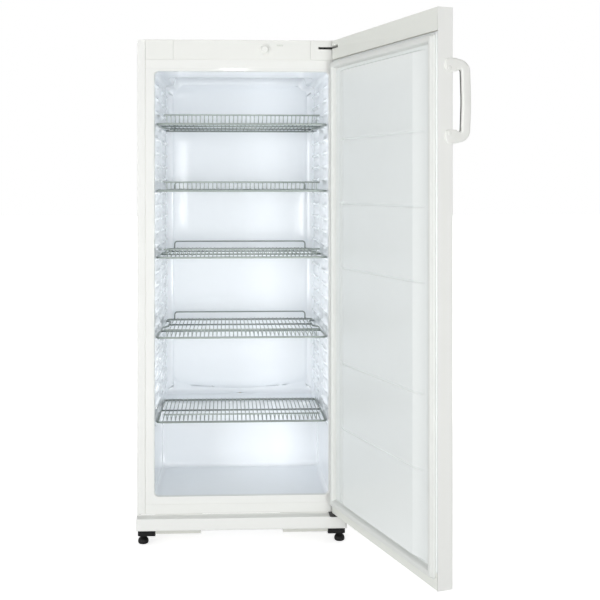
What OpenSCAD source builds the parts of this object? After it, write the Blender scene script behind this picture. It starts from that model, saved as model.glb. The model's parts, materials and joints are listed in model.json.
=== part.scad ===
// Upright storage refrigerator with a right-hand door shown open and five wire shelves.
// Millimetres. +Z is up, +X is to the right seen from the front, +Y is towards the back.
// The origin is on the floor, under the middle of the cabinet.

/* [Cabinet] */
// Width across the side panels
cabinet_w = 600; // [560:1:700]
// Depth from the front frame to the rear panel
cabinet_d = 510; // [480:1:580]
// Height of the top panel above the floor
cabinet_h = 1450; // [1400:1:1550]
// Thickness of the steel sheet
sheet_t = 1; // [0.8:0.1:1.5]
// Width of the fold of a side panel across the front
front_fold_w = 23.5; // [18:0.5:30]
// Width of the fold of a side panel across the back
rear_fold_w = 14; // [8:1:25]
// Height of the fold of the top panel down the back
top_fold_h = 20; // [15:1:30]
// Height of the underside of the side panels above the floor
panel_z = 53; // [50:1:60]

/* [Storage compartment] */
// Thickness of the insulated side walls
side_wall_t = 49.5; // [45:0.5:55]
// Thickness of the insulated rear wall
rear_wall_t = 60; // [50:1:75]
// Thickness of the plastic liner
liner_t = 2; // [1.5:0.1:3]
// Height of the compartment's floor
floor_z = 140; // [138:1:150]
// Distance from the ceiling at the front down from the cabinet's top
ceiling_drop = 90.5; // [85:0.5:110]
// How far each side wall leans in from front to back
wall_draft = 7; // [3:0.5:10]
// Radius of the upright corners at the back
corner_r = 24; // [15:1:35]
// Height of the liner's flange under the opening
sill_h = 23; // [20:1:25]
// Radius of the corners of the front opening
opening_r = 12; // [8:1:18]
// Depth of the floor in front of the step over the compressor
floor_depth = 305; // [290:1:315]
// Height of the step over the compressor above the compartment's floor
step_h = 205; // [190:1:208]
// How far the front of the step leans back
step_lean = 22; // [10:1:30]
// How much higher the ceiling is at the back
ceiling_rise = 26; // [15:1:35]
// Distance of the higher ceiling behind the front frame
rise_start = 170; // [140:1:220]
// How far the raised field of the rear wall stands out
field_out = 3; // [2:0.5:4]
// Distance of the raised field from the side walls
field_edge = 22.5; // [20:0.5:40]
// Height of the middle of the field's lower edge above the step
field_up = 21; // [18:1:40]
// How much higher the lower edge is at its ends
field_sag = 19; // [5:1:30]
// Distance from the higher ceiling down to the field
field_drop = 27.5; // [20:0.5:60]
// Radius of the field's corners
field_r = 28; // [15:1:40]

/* [Shelf supports] */
// Height of the lowest support of the upper group
first_rib_z = 390.5; // [388:0.5:402]
// Distance between two supports
rib_pitch = 38.6; // [36:0.1:38.6]
// Least room kept free above the highest support
rib_headroom = 28; // [20:1:36]
// Thickness of a support
rib_t = 5; // [3:0.5:7]
// How far a support stands out of the wall
rib_out = 9; // [7:0.5:10]
// Length of a support at the front
front_rib_l = 130; // [100:1:140]
// Distance of the front support behind the front frame
front_rib_y = 20; // [15:1:30]
// Length of a support at the back
rear_rib_l = 170; // [150:1:172]
// Distance of the rear support behind the front frame
rear_rib_y = 250; // [240:1:260]

/* [Shelves] */
// Number of supports left free above each of the upper shelves, from the top down
shelf_ribs = [3, 8, 13, 19];
// Height of the top of the support of the lowest shelf
low_shelf_z = 345; // [325:1:346]
// Diameter of the frame wire
frame_d = 6; // [5:0.5:7]
// Diameter of the cross wires
cross_d = 5; // [4:0.5:6]
// Diameter of the deck wires
deck_d = 2.5; // [2:0.1:3.2]
// Distance between deck wires
deck_pitch = 12; // [10:0.5:16]
// Distance of the front wire behind the front frame of the cabinet
shelf_front = 21; // [19:1:26]
// Depth of an upper shelf
shelf_depth = 396; // [380:1:402]
// Depth of the lowest shelf
low_shelf_depth = 300; // [280:1:302]
// Gap between a shelf and the side walls
shelf_gap = 2.5; // [2:0.25:4]
// Height of the front lip above the frame
lip_h = 25; // [15:1:30]
// How far the lip leans forward
lip_lean = 13; // [5:1:15]
// Width of the front lip
lip_w = 450; // [400:2:460]
// How far the lip's bar stands out beyond its last wires
lip_over = 8; // [4:1:12]
// Height of the rear stop above the frame
stop_h = 28; // [12:1:30]
// Width of the rear stop
stop_w = 428; // [380:2:436]
// Depth of the notch in each side of an upper shelf
notch_in = 15; // [12:1:18]

/* [Front panel] */
// Height of the control panel across the top
fascia_h = 57; // [52:1:62]
// How far the control panel stands in front of the frame
fascia_out = 2.5; // [1.5:0.5:4]
// Wall of the control panel and its covers
fascia_t = 2.5; // [2:0.5:3]
// Depth of the control panel behind the front frame
fascia_d = 14; // [10:1:18]
// Width of the cover at each end of the control panel
cover_w = 80; // [78:1:86]
// Height of the steel strip under the control panel
strip_h = 24; // [20:1:26]
// Place of the thermostat knob to the right of the middle
knob_x = 65.5; // [55:0.5:110]
// Height of the thermostat knob above the lower edge of the control panel
knob_up = 29.5; // [19:0.1:34]
// Diameter of the thermostat knob
knob_d = 31; // [24:0.5:34]
// Diameter of the thermostat's spindle
spindle_d = 6; // [4:0.5:8]
// How far the knob stands in front of the control panel
knob_out = 8; // [5:0.5:9]
// Width of the thermostat's body
thermostat_w = 40; // [34:1:46]
// Height of the thermostat's body
thermostat_h = 43; // [38:1:50]
// Depth of the thermostat's body
thermostat_d = 36; // [30:1:40]
// Place of the indicator to the right of the middle
lamp_x = 109.5; // [100:0.5:150]
// Height of the indicator above the lower edge of the control panel
lamp_up = 42; // [28:0.1:46]
// Width of the indicator
lamp_w = 17; // [10:0.5:20]
// Height of the indicator
lamp_h = 4; // [3:0.5:6]
// Depth of the control compartment behind the front frame
control_d = 62; // [60:1:75]
// Wall of the control compartment
control_t = 2; // [1.5:0.5:2.5]

/* [Door] */
// Thickness of the door
door_t = 40.5; // [38:0.5:44]
// Gap between the cabinet's front frame and the door, filled by the seal
door_gap = 14; // [13.5:0.5:16]
// Distance from the cabinet's top down to the door's top
door_top_drop = 3; // [1:0.5:6]
// Opening angle in which the door is shown
door_angle = 108; // [0:1:115]
// Distance of the hinge pins from the door's edge
hinge_edge = 20; // [19:0.5:24]
// Distance of the hinge pins in front of the door's inner face
hinge_deep = 16; // [15.5:0.5:18]
// Height of the plastic cap at the top of the door
top_cap_h = 56; // [50:1:60]
// Height of the plastic cap at the bottom of the door
bottom_cap_h = 41; // [34:1:42]
// Wall of the door's plastic lining
door_liner_t = 2; // [1.5:0.1:2.5]
// How far the middle of the lining stands up
panel_rise = 11; // [8:0.5:12]
// Distance from the door's edge to the raised panel
panel_edge = 51; // [48:1:65]
// Width of the slope round the raised panel
panel_slope = 52; // [30:1:56]
// Heights of the grooves across the raised panel
groove_z = [356, 537, 802, 982, 1161];
// Width of a groove
groove_w = 7; // [4:0.5:10]
// Depth of a groove
groove_deep = 2.5; // [1:0.25:3]
// Distance from the door's edge to the seal
seal_edge = 8; // [6:0.5:10]
// Width of the seal
seal_w = 22; // [18:0.5:24]
// Gap left between the closed seal and the cabinet
seal_gap = 0.6; // [0.4:0.1:1]

/* [Handle] */
// Distance from the door's top down to the handle's upper end
handle_drop = 117; // [67:1:347]
// Length of the handle
handle_l = 200; // [180:1:240]
// How far the handle stands in front of the door
handle_out = 48; // [40:1:55]
// Thickness of the grip from front to back
grip_t = 24; // [18:1:26]
// Width of the grip across the door
grip_w = 14; // [12:1:30]
// Height of each arm of the handle
arm_h = 31; // [28:1:36]
// Thickness of the handle where it lies on the door's edge
foot_t = 4; // [3:0.5:5]
// Distance between the two handle screws
screw_pitch = 152; // [150:1:160]
// Distance of the handle screws behind the door's outer face
screw_in = 12; // [10:0.5:14]
// Length of the handle screws in the door
screw_l = 20; // [14:1:24]

/* [Hinges] */
// Diameter of the hinge pins
pin_d = 8; // [6:0.5:9]
// Length of the hinge pins beyond their plates
pin_l = 16; // [12:1:18]
// Thickness of the hinge plates
plate_t = 3; // [2.5:0.5:4]
// Clearance of a pin in its bush, on the radius
pin_clear = 0.06; // [0.04:0.01:0.1]
// Wall of a hinge bush
bush_wall = 3; // [2:0.5:4]
// Width of the top hinge plate at its pin
plate_w = 18; // [16:1:20]
// Width of the top hinge plate where it is screwed down
plate_l = 56; // [50:1:60]
// Diameter of the screws
screw_d = 5; // [4:0.5:5]
// Diameter of the screw heads
screw_head_d = 9; // [8:0.5:9]
// Height of the top hinge plate below the cabinet's top
plate_drop = 24; // [20:1:26]
// Distance of the top plate's screws behind the front frame
plate_screw_y = 32; // [30:0.5:34]
// Length of the top plate's supports from front to back
support_l = 26; // [24:1:26]
// Wall of the top plate's supports
support_t = 2; // [1.5:0.5:2.5]

/* [Base] */
// Height of the top of the plinth above the floor
ledge_z = 87; // [84:1:92]
// How far the plinth stands in front of the cabinet
ledge_out = 33; // [30:1:38]
// Wall of the plinth cover
plinth_t = 2.5; // [2:0.5:3]
// Distance of a base rail from the middle of the cabinet
rail_x = 118; // [100:1:130]
// Width of a base rail
rail_w = 130; // [110:1:132]
// Thickness of the base rails
rail_t = 2; // [1.5:0.5:3]
// Height of the underside of the base rails
rail_z = 33; // [30:1:44]
// Length of a base rail
rail_l = 330; // [300:1:340]
// Diameter of the foot of a leveller
foot_d = 31; // [26:1:32]
// Height of the foot of a leveller
foot_h = 20; // [14:1:24]
// Diameter of the threaded stem of a leveller
stem_d = 10; // [8:1:12]
// Distance of the levellers from the side of the cabinet
foot_in = 16; // [15.5:0.5:20]
// Distance of the levellers behind the front frame
foot_y = 24; // [20:1:50]
// Height of the neck above the foot of a leveller
foot_neck = 4; // [2:0.5:6]
// Gap between a leveller's neck and its bracket
bracket_gap = 2; // [1:0.5:8]
// Reach of a foot bracket in front of its leveller
bracket_front = 22; // [18:1:26]
// Reach of a foot bracket behind its leveller
bracket_back = 26; // [22:1:40]
// Diameter of the rear rollers
roller_d = 44; // [36:1:50]
// Width of the rear rollers
roller_w = 16; // [12:1:22]
// Diameter of the roller axles
axle_d = 8; // [6:0.5:10]
// Distance of the middle of a roller from the side of the cabinet
roller_in = 50; // [44:1:60]
// Distance of the roller axles from the back of the cabinet
roller_back = 40; // [36:1:60]
// Length of a roller bracket from front to back
bracket_l = 32; // [28:1:40]
// Thickness of the roller brackets
bracket_t = 2.5; // [2:0.5:3]
// Height of the compressor rail above the underside of the side panels
compressor_rail_up = 12; // [10:1:14]
// Width of the compressor rail from front to back
compressor_rail_w = 104; // [98:2:108]
// Height of the upstand at each end of the compressor rail
upstand_h = 30; // [20:1:40]

/* [Cooling unit] */
// Thickness of the insulation above and in front of the compressor
bay_wall = 45; // [40:1:50]
// Width of the evaporator plate behind the liner
evaporator_w = 428; // [380:2:434]
// Height of the evaporator plate
evaporator_h = 548; // [450:1:560]
// Thickness of the evaporator plate
evaporator_t = 1.5; // [1:0.1:2]
// Distance from the compartment's ceiling down to the evaporator plate
evaporator_drop = 110.5; // [51:0.5:122]
// Bore of the drain tube
drain_d = 10; // [8:1:12]
// Wall of the drain tube
drain_wall = 1.5; // [1:0.25:2]
// Distance of the drain in front of the compartment's rear wall
drain_in = 12; // [10:1:30]
// Width of the evaporation tray
tray_w = 150; // [120:2:200]
// Depth of the evaporation tray
tray_d = 104; // [90:1:106]
// Height of the evaporation tray
tray_h = 26; // [20:1:32]
// Wall of the evaporation tray
tray_t = 2; // [1.5:0.5:3]
// Diameter of the compressor's can
can_d = 126; // [110:1:130]
// Height of the compressor's can
can_h = 150; // [130:1:160]
// Distance between the compressor's mounts across the cabinet
mount_w = 160; // [150:1:180]
// Distance between the compressor's mounts from front to back
mount_d = 60; // [50:1:70]
// Diameter of a rubber mount
mount_size = 20; // [16:1:24]
// Height of a rubber mount
mount_h = 12; // [8:1:14]
// Diameter of the condenser tube
coil_d = 5; // [4:0.5:6]
// Number of runs of the condenser tube
coil_runs = 13; // [9:2:15]
// Height of the lowest run of the condenser tube above the compressor bay
coil_up = 110; // [90:5:120]
// Distance of the condenser tube from the side of the cabinet
coil_edge = 55; // [45:1:80]
// Distance between the runs of the condenser tube
coil_pitch = 70; // [60:1:74]
// Diameter of the condenser wires
fin_d = 1.5; // [1.2:0.1:2]
// Distance between the condenser wires
fin_pitch = 14; // [10:1:25]
// Gap between the rear panel and the condenser
coil_gap = 18; // [14:1:22]
// Diameter of the refrigerant pipes
pipe_d = 6; // [5:0.5:8]

/* [Hidden] */

$fn = 48;
// A small overlap that keeps a cut from ending exactly on a face
cut = 1;
// Gap between foam and what it fills, and between parts that only just clear each other
fit = 0.3;

half_w = cabinet_w / 2;
front_y = -cabinet_d / 2;
rear_y = cabinet_d / 2;
cavity_half = half_w - side_wall_t;
cavity_rear = rear_y - rear_wall_t;
ceiling_z = cabinet_h - ceiling_drop;
high_ceiling_z = ceiling_z + ceiling_rise;
step_y = front_y + floor_depth;
step_z = floor_z + step_h;
pan_z = ledge_z + plate_t;
foam_z = pan_z + sheet_t;
fascia_z = cabinet_h - fascia_h;
strip_z = fascia_z - strip_h;
sill_z = floor_z - sill_h;
bay_z = step_z - bay_wall;
bay_y = step_y + step_lean + bay_wall;
fold_inner = half_w - front_fold_w;
low_shelf_rib_z = low_shelf_z - rib_t;
rib_count = floor((ceiling_z - rib_headroom - rib_t - first_rib_z) / rib_pitch) + 1;

door_inner_y = front_y - door_gap;
door_outer_y = door_inner_y - door_t;
door_z = pan_z + 1.5;
door_top_z = cabinet_h - door_top_drop;
cap_top_z = door_top_z - top_cap_h;
cap_bottom_z = door_z + bottom_cap_h;
pin_x = half_w - hinge_edge;
pin_y = door_inner_y - hinge_deep;
plate_z = cabinet_h - plate_drop;
panel_half = half_w - panel_edge;
seal_z = sill_z;
seal_top_z = cap_top_z - 5;
seal_h = door_gap - seal_gap;
handle_z = door_top_z - handle_drop - handle_l;
screw_z = handle_z + (handle_l - screw_pitch) / 2;
screw_y = door_outer_y + screw_in;
head_deep = 2.2;
bush_r = pin_d / 2 + bush_wall;

knob_z = fascia_z + knob_up;
lamp_z = fascia_z + lamp_up;
foot_x = half_w - foot_in;
foot_bracket_z = foot_h + foot_neck + bracket_gap;
roller_x = half_w - roller_in;
roller_y = rear_y - roller_back;
rail_side_x = rail_x + rail_w;
compressor_rail_z = panel_z + compressor_rail_up;
can_z = compressor_rail_z + rail_t + mount_h;
can_y = (bay_y + rear_y) / 2 + 2;
coil_y = rear_y + coil_gap;
coil_half = half_w - coil_edge;
coil_z = bay_z + coil_up;
fin_off = (coil_d + fin_d) / 2 + 0.05;
tray_z = can_z + can_h;
drain_y = cavity_rear - drain_in;
evaporator_z = ceiling_z - evaporator_drop - evaporator_h;
suction_x = -50;
suction_y = rear_y - 10;
suction_z = evaporator_z + 14;
evaporator_y = cavity_rear + liner_t + fit;

// A box between two corners
module block(from, to) {
    translate(from) cube(to - from);
}

// A round bar between two points
module bar(from, to, d, sides = 24) {
    way = to - from;
    flat = norm([way[0], way[1]]);
    translate(from)
        rotate([0, atan2(flat, way[2]), atan2(way[1], way[0])])
            cylinder(h = norm(way), d = d, $fn = sides);
}

// The same thing on the left (-1) or the right (1)
module on_side(side) {
    mirror([side < 0 ? 1 : 0, 0, 0]) children();
}

// Points of the arc that rounds the corner between a, p and b
function corner_arc(a, p, b, r, steps) =
    let (u = (a - p) / norm(a - p),
         v = (b - p) / norm(b - p),
         half = acos(u * v) / 2,
         middle = p + (u + v) / norm(u + v) * r / sin(half),
         from = p + u * r / tan(half) - middle,
         to = p + v * r / tan(half) - middle,
         turn = 180 - 2 * half)
    [for (i = [0:steps])
        let (k = i / steps)
        middle + from * sin((1 - k) * turn) / sin(turn) + to * sin(k * turn) / sin(turn)];

// An outline with each corner rounded by its own radius, 0 for a sharp one
function rounded(points, radii, steps = 5) =
    let (n = len(points))
    [for (i = [0:n - 1])
        for (q = radii[i] > 0
            ? corner_arc(points[(i + n - 1) % n], points[i], points[(i + 1) % n], radii[i], steps)
            : [points[i]])
        q];

// A rectangle between two corners with equal round corners
function round_rect(from, to, r, steps = 5) =
    rounded([from, [to[0], from[1]], to, [from[0], to[1]]], [r, r, r, r], steps);

// An outline in Y and Z carried along X
module along_x(from, to, points) {
    translate([from, 0, 0]) rotate([90, 0, 90])
        linear_extrude(to - from) polygon(points);
}

// An outline in X and Z carried along Y
module along_y(from, to, points) {
    translate([0, to, 0]) rotate([90, 0, 0])
        linear_extrude(to - from) polygon(points);
}

// An outline in X and Y carried along Z
module along_z(from, to, points) {
    translate([0, 0, from]) linear_extrude(to - from) polygon(points);
}

// The whole door part moved from its closed place to the place in which it is shown
module door_open() {
    translate([pin_x, pin_y, 0])
        rotate([0, 0, door_angle])
            translate([-pin_x, -pin_y, 0]) children();
}

// Cabinet shell

module side_panel(side) {
    color("whitesmoke") on_side(side) {
        block([half_w - sheet_t, front_y, panel_z], [half_w, rear_y, cabinet_h]);
        block([fold_inner, front_y, ledge_z + plate_t], [half_w, front_y + sheet_t, cabinet_h]);
        block([half_w - rear_fold_w, rear_y - sheet_t, panel_z], [half_w, rear_y, cabinet_h]);
    }
}

module top_panel() {
    inner = half_w - sheet_t;
    color("whitesmoke") {
        block([-inner, front_y + fascia_d + fit, cabinet_h - sheet_t], [inner, rear_y - sheet_t, cabinet_h]);
        block([-inner, rear_y - 2 * sheet_t, cabinet_h - top_fold_h], [inner, rear_y - sheet_t, cabinet_h]);
    }
}

module rear_panel() {
    inner = half_w - rear_fold_w;
    color("silver")
        block([-inner, rear_y - sheet_t, bay_z], [inner, rear_y, cabinet_h - sheet_t]);
}

module compressor_bay_panel() {
    inner = half_w - sheet_t;
    start = front_y + liner_t;
    color("silver") difference() {
        along_x(-inner, inner, [
            [start, pan_z], [bay_y + sheet_t, pan_z], [bay_y + sheet_t, bay_z],
            [rear_y - sheet_t, bay_z], [rear_y - sheet_t, bay_z + sheet_t], [bay_y, bay_z + sheet_t],
            [bay_y, foam_z], [start, foam_z]
        ]);
        drain_hole(drain_d + 2 * drain_wall + 2 * fit);
        translate([suction_x, suction_y, bay_z - cut]) cylinder(h = sheet_t + 2 * cut, d = pipe_d + 2);
    }
}

// Half the compartment's width at a distance behind the front frame
function wall_at(y) = cavity_half - wall_draft * y / (cabinet_d - rear_wall_t);

// The open space of the compartment, grown on all sides by a wall
module compartment(grow) {
    front = front_y - cut;
    back = cavity_rear + grow;
    near = cavity_half + grow;
    far = cavity_half - wall_draft + grow;
    intersection() {
        along_z(floor_z - grow, ceiling_z + grow, rounded(
            [[-near, front], [near, front], [far, back], [-far, back]],
            [0, 0, corner_r + grow, corner_r + grow]));
        along_x(-near, near, rounded([
                [front, floor_z - grow], [step_y + grow, floor_z - grow],
                [step_y + step_lean + grow, step_z - grow], [back, step_z - grow],
                [back, ceiling_z + grow], [front, ceiling_z + grow]
            ], [0, 14, 26 - grow, 14, 0, 0]));
        along_y(front, back, round_rect([-near, floor_z - grow], [near, ceiling_z + grow],
            opening_r + grow));
    }
    raised = far - corner_r;
    along_z(ceiling_z - corner_r, high_ceiling_z + grow, rounded(
        [[-raised - grow, front_y + rise_start - grow], [raised + grow, front_y + rise_start - grow],
         [raised + grow, back], [-raised - grow, back]],
        [40 + grow, 40 + grow, 0, 0]));
}

module drain_hole(d) {
    translate([0, drain_y, bay_z - cut]) cylinder(h = bay_wall + field_up / 2, d = d);
}

// The raised field of the rear wall, over the evaporator
module rear_field() {
    half = cavity_half - wall_draft - field_edge;
    low = step_z + field_up;
    high = high_ceiling_z - field_drop;
    lower = [for (i = [-5:5]) [half * i / 5, low + field_sag * pow(i / 5, 2)]];
    radii = [for (i = [-5:5]) abs(i) == 5 ? field_r : 0];
    along_y(cavity_rear - field_out, cavity_rear + liner_t / 2,
        rounded(concat(lower, [[half, high], [-half, high]]), concat(radii, [field_r, field_r])));
}

module shelf_rib(y, length, z) {
    for (side = [-1, 1])
        on_side(side)
            along_z(z, z + rib_t, [
                [wall_at(y) - rib_out, front_y + y], [wall_at(y) + liner_t / 2, front_y + y],
                [wall_at(y + length) + liner_t / 2, front_y + y + length],
                [wall_at(y + length) - rib_out, front_y + y + length]
            ]);
}

module inner_liner() {
    color("aliceblue") difference() {
        union() {
            difference() {
                union() {
                    compartment(liner_t);
                    block([-fold_inner, front_y, sill_z], [fold_inner, front_y + liner_t, strip_z]);
                }
                compartment(0);
                block([-half_w, front_y - 2 * cut, 0], [half_w, front_y, cabinet_h]);
            }
            for (i = [0:rib_count - 1]) {
                shelf_rib(front_rib_y, front_rib_l, first_rib_z + i * rib_pitch);
                shelf_rib(rear_rib_y, rear_rib_l, first_rib_z + i * rib_pitch);
            }
            rear_field();
            shelf_rib(front_rib_y, front_rib_l, low_shelf_rib_z);
            shelf_rib(rear_rib_y, floor_depth - rear_rib_y, low_shelf_rib_z);
        }
        drain_hole(drain_d);
    }
}

module foam_insulation() {
    inner = half_w - sheet_t;
    color("khaki") difference() {
        block([-inner, front_y + liner_t, foam_z], [inner, rear_y - 2 * sheet_t, cabinet_h - sheet_t]);
        compartment(liner_t + fit);
        block([-half_w, bay_y, 0], [half_w, rear_y, bay_z + sheet_t]);
        block([-half_w, front_y - cut, fascia_z - fit], [half_w, front_y + control_d, cabinet_h]);
        block([-evaporator_w / 2 - fit, evaporator_y - cut, evaporator_z - fit],
              [evaporator_w / 2 + fit, evaporator_y + evaporator_t + fit, evaporator_z + evaporator_h + fit]);
        drain_hole(drain_d + 2 * drain_wall + 2 * fit);
        block([suction_x - pipe_d, suction_y - pipe_d, bay_z - cut],
              [suction_x + pipe_d, suction_y + pipe_d, suction_z + pipe_d]);
        block([suction_x - pipe_d, evaporator_y, suction_z - pipe_d],
              [suction_x + pipe_d, suction_y, suction_z + pipe_d]);
    }
}

module top_cross_strip() {
    color("white")
        block([-fold_inner, front_y, strip_z], [fold_inner, front_y + liner_t, fascia_z]);
}

module bottom_cross_rail() {
    color("white")
        block([-fold_inner, front_y, pan_z], [fold_inner, front_y + liner_t, sill_z]);
}

// Control panel

// A shallow cover that is open at the back
module front_cover(from_x, to_x) {
    y = front_y - fascia_out;
    difference() {
        block([from_x, y, fascia_z], [to_x, front_y + fascia_d, cabinet_h]);
        block([from_x + fascia_t, y + fascia_t, fascia_z + fascia_t],
              [to_x - fascia_t, front_y + fascia_d + cut, cabinet_h - fascia_t]);
    }
}

module control_panel() {
    inner = fold_inner - cover_w;
    color("white") difference() {
        front_cover(-inner, inner);
        translate([knob_x, front_y + fascia_t, knob_z]) rotate([90, 0, 0])
            cylinder(h = 10, d = 12);
        block([lamp_x - lamp_w / 2, front_y - 10, lamp_z - lamp_h / 2],
              [lamp_x + lamp_w / 2, front_y + 10, lamp_z + lamp_h / 2]);
    }
}

module left_panel_cover() {
    color("white") front_cover(-fold_inner + fit, -fold_inner + cover_w - fit);
}

module right_panel_cover() {
    color("white") difference() {
        front_cover(fold_inner - cover_w + fit, fold_inner - fit);
        block([fold_inner - plate_l, front_y - 10, plate_z - 1.5],
              [half_w, front_y + 20, plate_z + plate_t + 1.5]);
    }
}

module control_compartment() {
    inner = half_w - sheet_t - fit;
    back = front_y + control_d - fit;
    color("gainsboro") difference() {
        block([-inner, front_y + fascia_d + fit, fascia_z], [inner, back, cabinet_h - sheet_t]);
        block([-inner + control_t, front_y + fascia_d + fit - cut, fascia_z + control_t],
              [inner - control_t, back - control_t, cabinet_h - sheet_t + cut]);
    }
}

module thermostat() {
    color("dimgray") difference() {
        block([knob_x - thermostat_w / 2, front_y + fascia_d + 2, fascia_z + control_t],
              [knob_x + thermostat_w / 2, front_y + fascia_d + 2 + thermostat_d, fascia_z + control_t + thermostat_h]);
        translate([knob_x, front_y + 40, knob_z]) rotate([90, 0, 0])
            cylinder(h = 60, d = spindle_d + 2 * pin_clear);
    }
}

module thermostat_spindle() {
    color("silver")
        bar([knob_x, front_y + 39, knob_z], [knob_x, front_y - fascia_out - 5, knob_z], spindle_d);
}

module thermostat_knob() {
    y = front_y - fascia_out - 0.4;
    color("white") translate([knob_x, y, knob_z]) rotate([90, 0, 0]) difference() {
        rotate_extrude() polygon([[0, 0], [knob_d / 2, 0], [knob_d / 2 - 0.6, knob_out - 2],
                                  [knob_d / 2 - 2, knob_out], [0, knob_out]]);
        translate([0, 0, -cut]) cylinder(h = cut + 4.9, d = spindle_d + 2 * pin_clear);
        translate([-1, knob_d / 2 - 8, knob_out - 1]) cube([2, 6, 2]);
    }
}

module indicator_lens() {
    color("palegreen")
        block([lamp_x - lamp_w / 2 + fit, front_y - fascia_out - 0.5, lamp_z - lamp_h / 2 + fit],
              [lamp_x + lamp_w / 2 - fit, front_y + 5, lamp_z + lamp_h / 2 - fit]);
}

// Base

module plinth() {
    y = front_y - ledge_out;
    color("white") difference() {
        along_z(panel_z, ledge_z, rounded(
            [[-half_w, y], [half_w, y], [half_w, front_y], [-half_w, front_y]], [6, 6, 0, 0]));
        block([-half_w + plinth_t, y + plinth_t, panel_z - cut],
              [half_w - plinth_t, front_y + cut, ledge_z - plinth_t]);
    }
}

module base_rail(side) {
    y0 = front_y + fit;
    color("antiquewhite") on_side(side) difference() {
        block([rail_x, y0, rail_z], [rail_side_x, y0 + rail_l, pan_z]);
        block([rail_x + rail_t, y0 + rail_t, rail_z + rail_t],
              [rail_side_x - rail_t, y0 + rail_l - rail_t, pan_z + cut]);
    }
}

module foot_brackets() {
    y = front_y + foot_y;
    outer = half_w - sheet_t;
    color("black") for (side = [-1, 1]) on_side(side) difference() {
        along_z(foot_bracket_z, panel_z, rounded([
            [rail_side_x, y - bracket_front], [outer, y - bracket_front],
            [outer, y + bracket_back], [rail_side_x, y + 1.5 * bracket_back]
        ], [4, 8, 8, 4]));
        translate([foot_x, y, foot_bracket_z - cut])
            cylinder(h = panel_z - foot_bracket_z + 2 * cut, d = stem_d + 2 * pin_clear);
    }
}

module levelling_foot(side) {
    r = foot_d / 2;
    color("black") on_side(side) translate([foot_x, front_y + foot_y, 0]) {
        rotate_extrude() polygon([
            [0, 0], [r, 0], [r, 3], [r - 2, foot_h * 0.55], [r * 0.6, foot_h * 0.85],
            [r * 0.6, foot_h + foot_neck], [0, foot_h + foot_neck]
        ]);
        cylinder(h = pan_z - 14, d = stem_d);
    }
}

module roller(side) {
    color("dimgray") on_side(side) translate([roller_x - roller_w / 2, roller_y, roller_d / 2])
        rotate([0, 90, 0]) difference() {
            rotate_extrude() polygon([
                [0, 0], [roller_d / 2 - 2, 0], [roller_d / 2, 2],
                [roller_d / 2, roller_w - 2], [roller_d / 2 - 2, roller_w], [0, roller_w]
            ]);
            translate([0, 0, -cut]) cylinder(h = roller_w + 2 * cut, d = axle_d + 2 * pin_clear);
        }
}

module roller_axles() {
    color("silver") for (side = [-1, 1]) on_side(side)
        bar([roller_x - roller_w / 2 - 6, roller_y, roller_d / 2],
            [roller_x + roller_w / 2 + 6, roller_y, roller_d / 2], axle_d);
}

module roller_brackets() {
    in = roller_w / 2 + 1;
    out = in + bracket_t;
    half = bracket_l / 2;
    nose = axle_d / 2 + 2 * bracket_t;
    cheek = [[roller_y - half, compressor_rail_z], [roller_y - nose, roller_d / 2 - nose],
             [roller_y + nose, roller_d / 2 - nose], [roller_y + half, compressor_rail_z]];
    color("silver") for (side = [-1, 1]) on_side(side) difference() {
        union() {
            along_x(roller_x - out, roller_x - in, cheek);
            along_x(roller_x + in, roller_x + out, cheek);
            block([roller_x - out, roller_y - half, compressor_rail_z - bracket_t],
                  [roller_x + out, roller_y + half, compressor_rail_z]);
        }
        bar([roller_x - out - cut, roller_y, roller_d / 2], [roller_x + out + cut, roller_y, roller_d / 2],
            axle_d + 2 * pin_clear);
    }
}

// Hinges

// Something at each of the two screws of the top hinge plate
module at_plate_screws() {
    for (x = [-14, -plate_l + 14])
        translate([fold_inner - cut + x, front_y + plate_screw_y, 0]) children();
}

module top_hinge_plate() {
    r = plate_w / 2;
    edge = fold_inner - cut;
    color("dimgray") difference() {
        union() {
            translate([pin_x, pin_y, plate_z]) cylinder(h = plate_t, r = r);
            along_z(plate_z, plate_z + plate_t, [
                [pin_x - r, pin_y], [pin_x + r, pin_y], [edge, front_y - 5], [edge, front_y + 44],
                [edge - plate_l, front_y + 44], [edge - plate_l + 16, front_y - 6], [pin_x - r, front_y - 12]
            ]);
        }
        translate([pin_x, pin_y, plate_z - cut]) cylinder(h = plate_t + 2 * cut, d = pin_d + 2 * pin_clear);
        at_plate_screws() translate([0, 0, plate_z - cut]) cylinder(h = plate_t + 2 * cut, d = screw_d + 0.2);
    }
}

module top_hinge_pin() {
    color("silver") translate([pin_x, pin_y, plate_z - pin_l]) {
        cylinder(h = pin_l + plate_t, d = pin_d);
        translate([0, 0, pin_l + plate_t]) cylinder(h = 1, d = pin_d + 3);
    }
}

module top_hinge_supports() {
    from = fold_inner - cut - plate_l - 2;
    to = fold_inner - 4;
    y0 = front_y + fascia_d + 6;
    y1 = y0 + support_l;
    low = fascia_z + control_t;
    color("silver") for (side = [-1, 1]) on_side(side) difference() {
        block([from, y0, low], [to, y1, plate_z]);
        block([from + support_t, y0 - cut, low + support_t], [to - support_t, y1 + cut, plate_z - support_t]);
        at_plate_screws() translate([0, 0, plate_z - support_t - cut])
            cylinder(h = support_t + 2 * cut, d = screw_d + 0.2);
    }
}

module top_hinge_screws() {
    color("silver") at_plate_screws() translate([0, 0, plate_z - 8]) {
        cylinder(h = 8 + plate_t, d = screw_d);
        translate([0, 0, 8 + plate_t]) cylinder(h = 3, d = screw_head_d);
    }
}

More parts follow.
